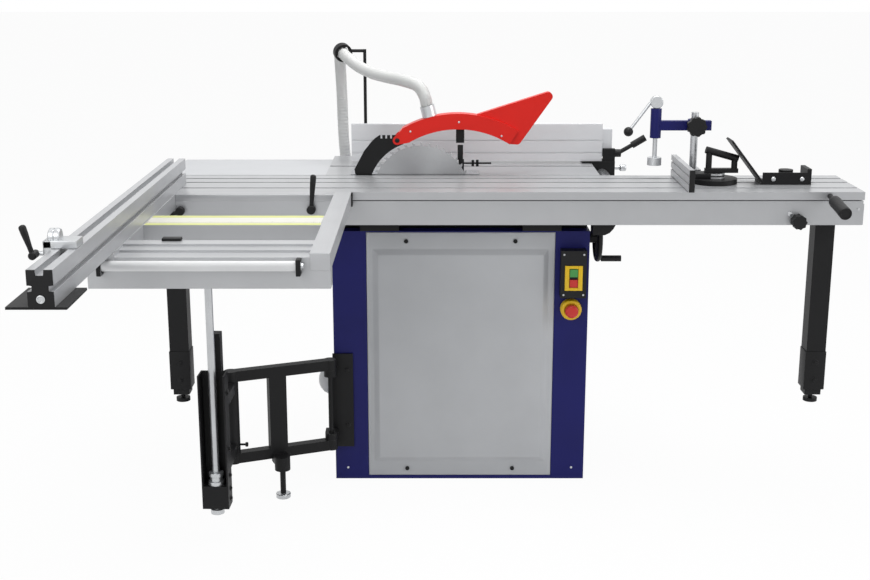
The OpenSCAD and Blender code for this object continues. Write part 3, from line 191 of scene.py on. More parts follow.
# One finish for each material slot, and a few for single nodes and trims
finish = {
    "blue_paint": surface("blue_powder_coat", srgb(24, 26, 98), 0.42, bump=0.16, wear=0.2, gloss=0.22),
    "grey_paint": surface("grey_powder_coat", srgb(196, 197, 199), 0.45, bump=0.16, mottle=0.025, wear=0.15),
    "black_paint": surface("black_powder_coat", srgb(24, 24, 25), 0.5, bump=0.2, wear=0.15, gloss=0.2),
    "cast_table": surface("ground_iron", srgb(182, 183, 185), 0.34, 0.55, 500, BRUSH_X, 0.12, 0.05, 0.2),
    "aluminium": surface("anodised_along_x", srgb(180, 181, 183), 0.34, 0.5, 700, BRUSH_X, 0.12, 0.03),
    "steel": surface("turned_steel", srgb(190, 192, 195), 0.28, 0.9, 800, BRUSH_X, 0.1),
    "zinc": surface("zinc_plate", srgb(196, 198, 200), 0.32, 0.8, 500, bump=0.14, mottle=0.1),
    "red_paint": surface("red_gloss", srgb(230, 36, 26), 0.36, bump=0.06, mottle=0.04, wear=0.1, gloss=0.3),
    "black_plastic": surface("black_moulding", srgb(22, 22, 23), 0.48, grain=1500, bump=0.25, gloss=0.25),
    "yellow_plastic": surface("yellow_moulding", srgb(240, 196, 24), 0.4, grain=1500, bump=0.12),
    "red_plastic": surface("red_moulding", srgb(206, 44, 34), 0.36, grain=1500, bump=0.1),
    "green_plastic": surface("green_moulding", srgb(70, 152, 74), 0.4, grain=1500, bump=0.12),
    "white_plastic": surface("white_moulding", srgb(232, 232, 232), 0.4, grain=1200, bump=0.1, mottle=0.03),
    "hose_plastic": surface("hose_pvc", srgb(218, 218, 216), 0.45, grain=900, bump=0.12, mottle=0.05),
    "belt_rubber": surface("rubber", srgb(28, 28, 28), 0.8, grain=1600, bump=0.4),
    "motor_iron": surface("painted_casting", srgb(58, 60, 96), 0.55, grain=350, bump=0.35, wear=0.3),
}
along_y = surface("anodised_along_y", srgb(186, 187, 189), 0.36, 0.45, 700, BRUSH_Y, 0.12, 0.03)
# Paler copy of the aluminium for the rip fence: painted light that brightens the fence's face
painted_light_along_x = surface("anodised_painted_light", srgb(226, 227, 229), 0.36, 0.3, 700, BRUSH_X, 0.12, 0.03)
# Blade steel with painted sheen streaks round the blade's centre
blade_steel = surface("blade_steel", srgb(178, 179, 181), 0.3, 0.8, bump=0.05, mottle=0.05,
                      rings_and_sheen_centre=pivot["blade_spin"])
tape_white = surface("scale_white", srgb(224, 222, 212), 0.5, grain=1500, bump=0.05, mottle=0.02)
tape_yellow = surface("scale_yellow", srgb(216, 219, 140), 0.5, grain=1500, bump=0.05, mottle=0.03)
special = {"rip_fence": painted_light_along_x, "crosscut_fence": along_y, "crosscut_frame": along_y,
           "mitre_fence": along_y, "saw_blade": blade_steel}


def paint_the_part():
    """Each node of the part takes the finish of its material slot, or its own."""
    for sub in frame["record"]["subparts"]:
        mesh = nodes[sub["node"]].data
        mesh.materials.clear()
        mesh.materials.append(special.get(sub["node"]) or finish[sub["material_slot"]])


# Shapes
class Kit:
    """Gathers shaped solids of one finish into one piece that rides on one body."""

    def __init__(self, name, body, slot, material=None):
        self.name, self.body, self.slot = name, body, slot
        self.material = material or finish[slot]
        self.bm = bmesh.new()

    def box(self, low, high, bevel=0.0012):
        """Block between two corners, with rounded edges."""
        low, high = Vector(low), Vector(high)
        size = high - low
        at = Matrix.Translation((low + high) / 2) @ Matrix.Diagonal((*size, 1))
        made = bmesh.ops.create_cube(self.bm, size=1, matrix=at)
        edges = {e for v in made["verts"] for e in v.link_edges}
        bmesh.ops.bevel(self.bm, geom=list(edges), offset=min(bevel, min(size) * 0.3), segments=2,
                        profile=0.6, affect="EDGES")
        return self

    def circles(self, base, axis, profile, sides):
        """Circles of vertices round the axis; profile is (radius, distance along the axis)."""
        turn = Z.rotation_difference(Vector(axis).normalized()).to_matrix()
        made = []
        for radius, along in profile:
            circle = []
            for k in range(sides):
                angle = 2 * math.pi * k / sides
                spot = Vector((radius * math.cos(angle), radius * math.sin(angle), along))
                circle.append(self.bm.verts.new(Vector(base) + turn @ spot))
            made.append(circle)
        return made

    def wall(self, lower, upper):
        """Faces between two loops of as many vertices."""
        sides = len(lower)
        for k in range(sides):
            self.bm.faces.new((lower[k], lower[(k + 1) % sides], upper[(k + 1) % sides], upper[k]))

    def lathe(self, base, axis, profile, sides=32):
        """Turned solid: profile is (radius, distance along the axis) from the base outwards."""
        circles = self.circles(base, axis, profile, sides)
        for lower, upper in zip(circles, circles[1:]):
            self.wall(lower, upper)
        self.bm.faces.new(reversed(circles[0]))
        self.bm.faces.new(circles[-1])
        return self

    def ring(self, base, axis, profile, sides=32):
        """Turned solid with a hole: the profile is a closed loop round the ring's section."""
        circles = self.circles(base, axis, profile, sides)
        for lower, upper in zip(circles, circles[1:] + circles[:1]):
            self.wall(lower, upper)
        return self

    def handle(self, start, end, thin, thick, sides=24):
        """Tapered handle with a rounded tip."""
        start, end = Vector(start), Vector(end)
        length = (end - start).length
        tip = thick * 0.7
        profile = [(thin, 0), (thin * 1.02, length * 0.3), (thick * 0.97, length * 0.72),
                   (thick, length - tip)]
        for degrees in (30, 55, 75, 86):
            angle = math.radians(degrees)
            profile.append((thick * math.cos(angle), length - tip * (1 - math.sin(angle))))
        return self.lathe(start, end - start, profile, sides)

    def rod(self, start, end, radius, sides=24):
        """Round rod with chamfered ends."""
        start, end = Vector(start), Vector(end)
        length = (end - start).length
        cut = radius * 0.2
        profile = [(radius - cut, 0), (radius, cut), (radius, length - cut), (radius - cut, length)]
        return self.lathe(start, end - start, profile, sides)

    def ball(self, centre, radius, sides=28, steps=14):
        """Ball with small flats at its poles."""
        profile = []
        for i in range(steps + 1):
            angle = math.pi * (0.04 + 0.92 * i / steps)
            profile.append((radius * math.sin(angle), -radius * math.cos(angle)))
        return self.lathe(centre, Z, profile, sides)

    def bolt(self, base, axis, radius=0.006):
        """Hexagon head on a washer."""
        washer = [(radius * 1.5, 0), (radius * 1.5, 0.001), (radius * 1.4, 0.0013)]
        head = [(radius, 0), (radius, radius * 0.6), (radius * 0.86, radius * 0.75)]
        self.lathe(base, axis, washer, sides=28)
        head_base = Vector(base) + 0.0012 * Vector(axis).normalized()
        return self.lathe(head_base, axis, head, sides=6)

    def dome(self, base, axis, radius=0.004):
        """Low domed screw head."""
        profile = [(1, 0), (1, 0.25), (0.8, 0.5), (0.4, 0.62)]
        return self.lathe(base, axis, [(radius * r, radius * along) for r, along in profile], sides=24)

    def prism(self, outline, start, end, bevel=0.0008):
        """Outline of (x, z) points, drawn along Y from start to end."""
        low = [self.bm.verts.new((x, start, z)) for x, z in outline]
        high = [self.bm.verts.new((x, end, z)) for x, z in outline]
        self.bm.faces.new(low)
        self.bm.faces.new(list(reversed(high)))
        self.wall(high, low)
        edges = {e for v in low + high for e in v.link_edges}
        bmesh.ops.bevel(self.bm, geom=list(edges), offset=bevel, segments=2, profile=0.6, affect="EDGES")
        return self

    def done(self, *replaced, sharp_from=32):
        """Makes the piece, which may stand for nodes of the part. Bends of more degrees have a sharp edge."""
        bmesh.ops.recalc_face_normals(self.bm, faces=self.bm.faces)
        mesh = bpy.data.meshes.new(self.name)
        self.bm.to_mesh(mesh)
        self.bm.free()
        mesh.shade_smooth()
        mesh.set_sharp_from_angle(angle=math.radians(sharp_from))
        mesh.materials.append(self.material)
        piece = bpy.data.objects.new(self.name, mesh)
        scene.collection.objects.link(piece)
        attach(piece, self.body)
        if replaced:
            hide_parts(*replaced)
        return piece


def four_bars(outer, inner):
    """Bars round an opening, as (low, high) corners; outer and inner are half sizes in the two directions."""
    (a, b), (c, d) = outer, inner
    return [((-a, -b), (-c, b)), ((c, -b), (a, b)), ((-c, -b), (c, -d)), ((-c, d), (c, b))]


def middle_of(node):
    """Centre of a node's box."""
    low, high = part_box(node)
    return (low + high) / 2


# Dust hose
def hose_points(count):
    """Points along the same spline as the part's hose."""
    route = [Vector(p) for p in HOSE_ROUTE]
    last = len(route) - 1
    points = []
    for i in range(count + 1):
        place = min(i / count * last, last - 1e-6)
        k = int(place)
        t = place - k
        a, b, c, d = route[max(k - 1, 0)], route[k], route[k + 1], route[min(k + 2, last)]
        points.append(0.5 * (2 * b + (c - a) * t + (2 * a - 5 * b + 4 * c - d) * t ** 2
                             + (3 * b - a - 3 * c + d) * t ** 3))
    return points


def add_hose():
    """Ribbed tube with its bore: four rows of vertices to a rib."""
    rows = 4 * HOSE_RIBS
    points = hose_points(rows)
    never_along = Vector((1, 0.6, 0))
    kit = Kit("hose", "base", "hose_plastic")
    outer, inner = [], []
    for i, point in enumerate(points):
        along = (points[min(i + 1, rows)] - points[max(i - 1, 0)]).normalized()
        across = along.cross(never_along).normalized()
        up = along.cross(across)
        rib = HOSE_RIB_DEPTH * (0.5 - 0.5 * math.cos(i * math.pi / 2))
        for circles, radius in ((outer, HOSE_D / 2 - rib), (inner, HOSE_D / 2 - HOSE_WALL - rib * 0.5)):
            circle = []
            for k in range(HOSE_SIDES):
                angle = 2 * math.pi * k / HOSE_SIDES
                spot = point + radius * (math.cos(angle) * across + math.sin(angle) * up)
                circle.append(kit.bm.verts.new(spot))
            circles.append(circle)
    for circles in (outer, inner):
        for lower, upper in zip(circles, circles[1:]):
            kit.wall(lower, upper)
    for end in (0, -1):
        kit.wall(outer[end], inner[end])
    hose = kit.done("dust_hose", sharp_from=180)


# Cabinet
def add_panel():
    """Front panel: pressed sheet with a flat border round a raised field, and a slope between them."""
    low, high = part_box("front_panel")
    side, bottom, top, slope = 0.0187, 0.0457, 0.0487, 0.015
    front, back = CAB_FRONT - 2 * HAIR, high.y - 2 * HAIR
    kit = Kit("pressed_panel", "base", "grey_paint")
    loops = []
    for x, z0, z1, y in (
            (high.x, low.z, high.z, back), (high.x, low.z, high.z, front),
            (high.x - side, low.z + bottom, high.z - top, front),
            (high.x - side - slope, low.z + bottom + slope, high.z - top - slope, low.y)):
        corners = [(-x, y, z0), (x, y, z0), (x, y, z1), (-x, y, z1)]
        loops.append([kit.bm.verts.new(corner) for corner in corners])
    for outer, inner in zip(loops, loops[1:]):
        kit.wall(outer, inner)
    kit.bm.faces.new(loops[-1])
    kit.bm.faces.new(reversed(loops[0]))
    bends = [e for e in kit.bm.edges if all(v.co.y < CAB_FRONT for v in e.verts)]
    bmesh.ops.bevel(kit.bm, geom=bends, offset=0.003, segments=3, profile=0.5, affect="EDGES")
    kit.done("front_panel")


def add_switch():
    """Yellow frame round the buttons, and screws in the switch's housing."""
    low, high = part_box("switch_box")
    x = (low.x + high.x) / 2
    z = (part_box("stop_button")[0].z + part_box("start_button")[1].z) / 2
    outer, inner = (0.025, 0.036), (0.0125, 0.0275)
    proud, sunk = 0.003, 0.0005
    rim = Kit("switch_frame", "base", "yellow_plastic")
    for start, end in four_bars(outer, inner):
        rim.box((x + start[0], low.y - proud, z + start[1]),
                (x + end[0], low.y + sunk, z + end[1]), bevel=0.0008)
    rim.done()
    from_side, from_bottom, from_top = 0.008, 0.0095, 0.0105
    screws = Kit("switch_screws", "base", "zinc")
    for screw_x in (low.x + from_side, high.x - from_side):
        for screw_z in (low.z + from_bottom, high.z - from_top):
            screws.dome((screw_x, low.y, screw_z), -Y, radius=0.003)
    screws.done()


def add_estop():
    """Emergency stop: domed mushroom on a stepped collar."""
    foot = middle_of("estop_base")
    foot.y = CAB_FRONT
    collar = [(0.030, 0), (0.030, 0.019), (0.0275, 0.0235), (0.0205, 0.024), (0.0202, 0.0105)]
    mushroom = [(0.0095, 0.018), (0.0098, 0.032), (0.0185, 0.0325), (0.0192, 0.036), (0.0185, 0.041),
                (0.015, 0.0445), (0.008, 0.046), (0.001, 0.0462)]
    Kit("estop_collar", "base", "yellow_plastic").lathe(foot, -Y, collar, sides=48).done("estop_base")
    Kit("estop_mushroom", "estop", "red_plastic").lathe(foot, -Y, mushroom, sides=48).done("estop_button")


def add_tilt_dome():
    """Domed cap of the tilt wheel."""
    base = pivot["tilt_wheel_turn"] - INSET * X
    profile = [(0.044, 0), (0.046, 0.002), (0.046, 0.014), (0.0445, 0.026), (0.038, 0.040), (0.026, 0.051),
               (0.012, 0.057), (0.001, 0.058)]
    dome = Kit("tilt_dome", "tilt_wheel", "white_plastic")
    dome.lathe(base, -X, profile, sides=48).done("tilt_handwheel")


def add_bracket_and_shade_strip():
    """Black strip in the gap between the beam and the cabinet: partly the brackets' dark face, partly painted
    shade under the beam.
    """
    low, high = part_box("beam_brackets")
    half = CAB_HIGH.x - 0.004
    near, far = BEAM_HIGH.y - 0.011, BEAM_HIGH.y - 0.006
    strip = Kit("bracket_and_shade_strip", "base", "black_paint")
    strip.box((-half, near, low.z + INSET), (half, far, high.z - INSET), bevel=0.0008).done()


def add_column_screws():
    """Screws at the foot of the cabinet's two front columns."""
    from_side, height = 0.036, 0.035
    screws = Kit("column_screws", "base", "zinc")
    for x in (CAB_LOW.x + from_side, CAB_HIGH.x - from_side):
        screws.dome((x, CAB_FRONT, height), -Y, radius=0.0035)
    screws.done()


# Blade and guard
def add_guard_screws():
    """Pivot bolts of the guard, and the screws on its near side at their distances from the pivot."""
    eye = pivot["guard_lift"]
    half = (GUARD_HIGH.y - GUARD_LOW.y) / 2
    bolts = Kit("guard_bolts", "guard", "black_paint")
    for way in (-Y, Y):
        bolts.bolt(eye + half * way, way, radius=0.0045)
    bolts.done()
    screws = Kit("guard_screws", "guard", "zinc")
    for along, up in ((0.038, 0.026), (0.178, 0.053), (0.301, 0.013)):
        screws.dome((eye.x + along, GUARD_LOW.y, eye.z + up), -Y, radius=0.003)
    screws.done()


def add_adjuster():
    """Small adjuster behind the blade, on the insert, and its bracket under the guard."""
    blade_y = pivot["blade_spin"].y
    half = 0.012
    bracket = Kit("guard_bracket", "guard", "black_paint")
    bracket.box((-half, blade_y + 0.0055, TABLE_Z + 0.092),
                (half, blade_y + 0.0185, TABLE_Z + 0.142), bevel=0.0015).done()
    near = GUARD_HIGH.y + 0.0008
    far = near + 0.0035
    # Each bar from and to in x, then from and to in height above the table
    foot = (-0.004, 0.012, 0, 0.042)
    upright = (-0.007, 0.009, 0.040, 0.084)
    screw = (0.010, 0.092, 0.0275, 0.0325)
    nuts = [(0.034, 0.042, 0.0205, 0.0395), (0.047, 0.055, 0.0200, 0.0400)]
    adjuster = Kit("fine_adjuster", "base", "black_plastic")
    for x0, x1, z0, z1 in (foot, upright, screw, *nuts):
        adjuster.box((x0, near, TABLE_Z + z0), (x1, far, TABLE_Z + z1), bevel=0.0006)
    adjuster.done()


# Outrigger
def add_scale():
    """Printed scale on the middle bar: white tape, yellow edges, and ticks of which every tenth is long."""
    left, right = LEFT_RAIL[1] + 0.002, RIGHT_RAIL[0] - 0.002
    near, far, edge_width = -0.850, -0.784, 0.024
    under, top, tick_top = TABLE_Z - INSET, TABLE_Z + 0.00012, TABLE_Z + 0.0002
    tick_count, tick_pitch, tick_width = 85, 0.005, 0.0006
    tick_start = left + 0.002
    tick_short, tick_long = 0.011, 0.020
    tape = Kit("scale_tape", "carriage", "white_plastic", tape_white)
    tape.box((left, near, under), (right, far, top), bevel=HAIR).done()
    edges = Kit("scale_edges", "carriage", "yellow_plastic", tape_yellow)
    for y in (near - edge_width, far + 0.001):
        edges.box((left, y, under), (right, y + edge_width, top), bevel=HAIR)
    edges.done()
    ticks = Kit("scale_ticks", "carriage", "black_plastic")
    for i in range(tick_count):
        x = tick_start + i * tick_pitch
        length = tick_long if i % 10 == 0 else tick_short
        ticks.box((x, near, under), (x + tick_width, near + length, tick_top), bevel=HAIR)
    ticks.done()


def add_levers():
    """Clamping levers: a turning one on the rear bar, and a fixed one under the crosscut fence."""
    hub = [(0.0105, 0), (0.012, 0.0015), (0.012, 0.017), (0.0105, 0.0195), (0.006, 0.0203)]
    seat = REAR_BAR_FRONT - 2 * HAIR
    place = pivot["table_lever_turn"]
    turning = Kit("table_lever_grip", "table_lever", "black_plastic")
    turning.lathe((place.x, seat, place.z), -Y, hub)
    turning.handle(place, place + Vector((0.008, 0, 0.0955)), thin=0.0056, thick=0.0080)
    turning.done("table_lever")
    place = Vector((LEFT_RAIL[1] + 0.013, place.y, place.z - 0.004))
    fixed = Kit("rear_lever", "carriage", "black_plastic")
    fixed.lathe((place.x, seat, place.z), -Y, hub)
    fixed.handle(place - 0.003 * Z, place + Vector((-0.078, -0.025, -0.011)), thin=0.0056, thick=0.0078)
    fixed.done()


def add_roller_brackets():
    """Black brackets of the loading roller, with zinc bolts."""
    axle = pivot["roller_spin"]
    low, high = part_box("front_roller")
    past_roller, thick = 0.001, 0.0108
    brackets = Kit("roller_brackets", "carriage", "black_paint")
    bolts = Kit("roller_bolts", "carriage", "zinc")
    for outside, inward in ((low.x - past_roller, X), (high.x + past_roller, -X)):
        inside = outside + thick * inward.x
        brackets.box((min(outside, inside), FRAME_LOW.y - 0.0006, axle.z - 0.0206),
                     (max(outside, inside), RAIL_FRONT - 2 * HAIR, axle.z + 0.0166), bevel=0.002)
        bolts.bolt((outside, axle.y, axle.z), -inward, radius=0.006)
    brackets.done()
    bolts.done()


def add_outrigger_caps():
    """Caps on the front ends of the two rails."""
    thick = 0.003
    caps = Kit("outrigger_caps", "carriage", "aluminium", along_y)
    for left, right in (LEFT_RAIL, RIGHT_RAIL):
        caps.box((left + INSET, RAIL_FRONT - thick, RAIL_UNDER + INSET),
                 (right - INSET, RAIL_FRONT - HAIR, TABLE_Z - INSET), bevel=0.0012)
    caps.done()


def add_outrigger_covers():
    """Strip at the frame's corner by the carriage, cover of the rear bar, and a small clip."""
    strip = Kit("frame_strip", "carriage", "black_plastic")
    strip.box((FRAME_HIGH.x + HAIR, FRAME_HIGH.y - 0.013, RAIL_UNDER + 0.001),
              (FRAME_HIGH.x + 0.004, FRAME_HIGH.y - 0.0005, TABLE_Z - 0.001), bevel=0.0008).done()
    cover = Kit("clamp_bar_cover", "carriage", "aluminium")
    cover.box((LEFT_RAIL[1] + HAIR, REAR_BAR_FRONT, TABLE_Z - 0.018),
              (RIGHT_RAIL[0] - HAIR, FRAME_HIGH.y - 2 * HAIR, TABLE_Z), bevel=0.001).done()
    clip = Kit("rail_clip", "carriage", "black_plastic")
    clip.box((-0.690, -1.056, TABLE_Z - INSET), (-0.646, -1.034, TABLE_Z + 0.0065), bevel=0.002).done()


# Crosscut fence
def add_fence_cap():
    """End cap in the shape of the fence's section, with its screw."""
    x = (FENCE_LOW.x + FENCE_HIGH.x) / 2
    half = (FENCE_HIGH.x - FENCE_LOW.x) / 2
    z = (FENCE_UNDER + FENCE_HIGH.z) / 2
    end, thick = FENCE_LOW.y, 0.0035
    slot_half, slot_depth = 0.006, 0.010
    groove_half, groove_floor = 0.008, FENCE_HIGH.z - 0.012
    right = [(half, FENCE_UNDER), (half, z - slot_half), (half - slot_depth, z - slot_half),
             (half - slot_depth, z + slot_half), (half, z + slot_half), (half, FENCE_HIGH.z),
             (groove_half, FENCE_HIGH.z), (groove_half, groove_floor)]
    left = [(-across, height) for across, height in reversed(right)]
    cap = Kit("fence_end_cap", "fence_swing", "black_plastic")
    cap.prism([(x + across, height) for across, height in right + left], end - thick, end - 2 * HAIR).done()
    head = [(0.008, 0), (0.008, 0.0015), (0.006, 0.002), (0.005, 0.0004)]
    screw = Kit("fence_cap_screw", "fence_swing", "zinc")
    screw.lathe((x, end - thick, FENCE_UNDER + 0.0157), -Y, head, sides=28).done()


def add_stop():
    """Stop on the fence: zinc body and wheel, black lever."""
    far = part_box("flip_stop")[1].y
    near = far - 0.050
    side, top = FENCE_LOW.x - 0.018, FENCE_HIGH.z + 0.016
    gap = 3 * HAIR
    axle_y, axle_z = near + 0.006, FENCE_HIGH.z - 0.010
    wheel = [(0.010, 0), (0.0105, 0.002), (0.015, 0.002), (0.017, 0.004), (0.017, 0.012), (0.0155, 0.013),
             (0.017, 0.014), (0.017, 0.022), (0.015, 0.0245), (0.008, 0.026)]
    body = Kit("stop_body", "fence_stop", "zinc")
    body.box((side, near, FENCE_HIGH.z + gap), (FENCE_HIGH.x, far, top), bevel=0.002)
    body.box((side, near, FENCE_HIGH.z - 0.030), (FENCE_LOW.x - gap, far, top), bevel=0.002)
    body.lathe((side + 0.006, (near + far) / 2, top + 0.004), X, wheel)
    body.rod((side - 0.022, axle_y, axle_z), (side + 0.004, axle_y, axle_z), radius=0.005)
    body.done("flip_stop")
    hub = Vector((side - 0.016, near - 0.022, axle_z))
    root = hub + 0.008 * Y
    lever = Kit("stop_lever", "fence_stop", "black_plastic")
    lever.lathe(hub, Y, [(0.006, 0), (0.008, 0.002), (0.008, 0.028), (0.006, 0.030)])
    lever.handle(root, root + Vector((-0.018, 0, 0.0607)), thin=0.005, thick=0.0075)
    lever.done("flip_stop")


# Carriage, mitre fence and hold-down
def add_push_grip():
    """Push handle: a moulded grip that droops from the carriage's edge."""
    droop = math.radians(8)
    axis = (0, -math.cos(droop), -math.sin(droop))
    root = Vector((middle_of("push_handle").x, CARRIAGE_LOW.y, (CARRIAGE_LOW.z + CARRIAGE_HIGH.z) / 2))
    stem = [(0.007, -0.004), (0.007, 0.040)]
    grip = [(0.0135, 0.0405), (0.0160, 0.044), (0.0168, 0.056), (0.0160, 0.076), (0.0164, 0.118),
            (0.0170, 0.138), (0.0170, 0.147), (0.0160, 0.150), (0.0125, 0.150), (0.0120, 0.1485)]
    handle = Kit("push_grip", "carriage", "black_plastic")
    handle.lathe(root, axis, stem + grip, sides=40).done("push_handle")


def add_clamp_lever():
    """Lever of the hold-down: zinc hub and rod, dark ball."""
    hub = pivot["clamp_lever_turn"]
    ball = hub + Vector((-0.077, 0, -0.084))
    profile = [(0.012, 0), (0.0165, 0.0005), (0.018, 0.002), (0.018, 0.018), (0.0165, 0.0195), (0.012, 0.020)]
    half = profile[-1][1] / 2
    cam = Kit("clamp_cam", "clamp_lever", "zinc")
    cam.lathe(hub - half * Y, Y, profile, sides=40)
    cam.rod(hub - 0.016 * X, ball, radius=0.0045)
    cam.done("clamp_lever")
    Kit("clamp_ball", "clamp_lever", "black_plastic").ball(ball, radius=0.0135).done("clamp_lever")


def add_mitre_covers():
    """Dark cover of the mitre fence's arm, and the cap on the fence's near end."""
    turn = pivot["mitre_angle"]
    low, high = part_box("mitre_fence")
    fence_back = low.x + 0.014
    half = 0.0268
    cover = Kit("mitre_arm_cover", "mitre_gauge", "black_paint")
    cover.box((fence_back + 3 * HAIR, turn.y - half, TABLE_Z + 0.0142),
              (turn.x, turn.y + half, TABLE_Z + 0.0288), bevel=0.001)
    cover.rod((turn.x, turn.y, TABLE_Z + 0.0141), (turn.x, turn.y, TABLE_Z + 0.0290), radius=0.0306, sides=40)
    cover.done()
    lip, thick = 0.0006, 0.0035
    cap = Kit("mitre_cap", "mitre_gauge", "black_plastic")
    cap.box((low.x - lip, low.y - thick, low.z + 2 * HAIR),
            (fence_back + lip, low.y - HAIR, high.z + lip), bevel=0.001).done()


def add_carriage_screws():
    """Bright screws in the edging shoe."""
    low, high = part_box("edging_shoe")
    screws = Kit("carriage_screws", "carriage", "zinc")
    for from_end in (0.106, 0.026):
        screws.dome((high.x - from_end, low.y, low.z + 0.016), -Y, radius=0.0065)
    screws.done()


# Beam and legs
def add_beam_caps():
    """Caps on the beam's ends."""
    thick = 0.003
    caps = Kit("beam_caps", "base", "grey_paint")
    for x in (BEAM_LOW.x - thick, BEAM_HIGH.x):
        caps.box((x, BEAM_LOW.y + INSET, BEAM_LOW.z + INSET),
                 (x + thick, BEAM_HIGH.y - INSET, BEAM_HIGH.z - 0.008), bevel=0.0012)
    caps.done()


def add_beam_lug():
    """Lug under the beam beside the cabinet, with a blunted lower corner."""
    left, right = CAB_HIGH.x + 0.0005, CAB_HIGH.x + 0.064
    top, bottom = BEAM_LOW.z - 2 * HAIR, BEAM_LOW.z - 0.041
    near, far = CAB_FRONT - 0.062, CAB_FRONT - 0.006
    corner = [(right - 0.030, bottom), (right - 0.017, bottom + 0.006), (right - 0.006, bottom + 0.018),
              (right, bottom + 0.030)]
    outline = [(left, top), (left, bottom), *corner, (right, top)]
    Kit("beam_lug", "base", "black_paint").prism(outline, near, far, bevel=0.001).done()


def add_beam_screws():
    """Screws in the beam's front: one beside the lock knob and a small one by the right end."""
    knob = pivot["lock_knob_turn"]
    screws = Kit("beam_screws", "base", "zinc")
    screws.dome((knob.x - 0.0214, BEAM_LOW.y, knob.z + 0.0191), -Y, radius=0.007)
    screws.dome((BEAM_HIGH.x - 0.0125, BEAM_LOW.y, BEAM_LOW.z + 0.044), -Y, radius=0.0035)
    screws.done()


def add_leg_collars():
    """Lower collars of the legs, with their bolts."""
    skin = 0.002
    for side in ("left", "right"):
        low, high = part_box(side + "_leg_sleeve")
        x, y = (low.x + high.x) / 2, (low.y + high.y) / 2
        half = (high.x - low.x) / 2
        bottom, top = low.z + 0.001, low.z + 0.114
        collar = Kit(side + "_leg_collar", "base", "black_paint")
        for start, end in four_bars((half + skin, half + skin), (half, half)):
            collar.box((x + start[1], y + start[0], bottom), (x + end[1], y + end[0], top), bevel=0.0006)
        for height in (0.029, 0.081):
            collar.bolt((x, low.y - skin, low.z + height), -Y, radius=0.006)
        collar.done()


# Rip fence
def add_rip_adjuster():
    """Fine-adjust knob at the end of the rip fence's carriage."""
    low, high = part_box("fence_carriage")
    stem = [(0.006, 0), (0.006, 0.022)]
    grip = [(0.0085, 0.0225), (0.0105, 0.025), (0.0105, 0.040), (0.0090, 0.0425)]
    knob = Kit("rip_adjuster", "rip_fence", "zinc")
    knob.lathe((high.x - 0.0005, high.y - 0.013, low.z + 0.045), X, stem + grip, sides=28).done()


# Swing arm
def on_floor(point):
    """The place on the floor under a point."""
    return Vector((point.x, point.y, 0))


def add_post_nuts():
    """Two stacks of nuts round the post, an upper and a lower one."""
    post = on_floor(middle_of("arm_post"))
    upper_z, lower_z, bore = 0.150, 0.066, 0.0104
    upper = [(bore, 0), (0.021, 0), (0.021, 0.010), (0.0165, 0.012), (0.0165, 0.022), (0.0195, 0.024),
             (0.0195, 0.034), (bore, 0.036)]
    lower = [(bore, 0), (0.014, 0), (0.018, 0.002), (0.018, 0.014), (0.012, 0.016), (0.012, 0.021),
             (bore, 0.021)]
    nuts = Kit("post_nut", "arm_outer", "zinc")
    nuts.ring(post + upper_z * Z, Z, upper)
    nuts.ring(post + lower_z * Z, Z, lower)
    nuts.done()


def add_arm_bolts():
    """Bolts on both sides of the outer link near the post, and a stop screw at its elbow."""
    elbow = on_floor(pivot["arm_elbow"])
    along = (on_floor(middle_of("arm_post")) - elbow).normalized()
    across = Vector((-along.y, along.x, 0))
    reach, half = 0.240, 0.035
    bolts = Kit("arm_bolts", "arm_outer", "black_paint")
    for height in (0.107, 0.135, 0.172, 0.246, 0.400):
        for way in (-across, across):
            bolts.bolt(elbow + reach * along + half * way + height * Z, way, radius=0.0045)
    screw = elbow + 0.166 * Z
    head = [(0.004, 0), (0.0065, 0.001), (0.0065, 0.007), (0.005, 0.008)]
    bolts.rod(screw + 0.018 * X, screw + 0.036 * X, radius=0.003)
    bolts.lathe(screw + 0.034 * X, X, head, sides=16)
    bolts.done()


def add_arm_foot():
    """Levelling foot beside the inner link, a little above the floor."""
    shoulder = on_floor(pivot["arm_shoulder"])
    link = on_floor(pivot["arm_elbow"]) - shoulder
    beside = Vector((-link.y, link.x, 0)).normalized()
    place = shoulder + 0.55 * link + 0.040 * beside + 0.0012 * Z
    profile = [(0.0185, 0), (0.0207, 0.0015), (0.0207, 0.0115), (0.0185, 0.0135), (0.0095, 0.0145)]
    Kit("arm_foot", "arm_inner", "zinc").lathe(place, Z, profile, sides=40).done()


def add_hinge_plate_bolts():
    """Bolts in the plate that carries the arm."""
    low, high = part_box("arm_hinge_plate")
    plate_face = CAB_FRONT - 0.008
    bolts = Kit("hinge_plate_bolts", "base", "black_paint")
    for z in (low.z + 0.068, high.z - 0.048):
        bolts.bolt((high.x - 0.015, plate_face, z), -Y, radius=0.006)
    bolts.done()


# Camera, floor, world and lamps
def add_camera():
    """Camera at the photograph's viewpoint."""
    lens = bpy.data.cameras.new("camera")
    lens.lens = CAMERA_LENS
    lens.sensor_width = SENSOR_WIDTH
    camera = bpy.data.objects.new("camera", lens)
    camera.location = CAMERA_PLACE
    camera.rotation_euler = (math.radians(90 - CAMERA_PITCH), 0, 0)
    scene.collection.objects.link(camera)
    scene.camera = camera


def seen_ray(tree):
    """1 for camera, mirror and see-through rays, which meet the white background."""
    path = add(tree, "LightPath").outputs
    direct = maths(tree, "MAXIMUM", path["Is Camera Ray"], path["Is Glossy Ray"])
    return maths(tree, "MAXIMUM", direct, path["Is Transmission Ray"])


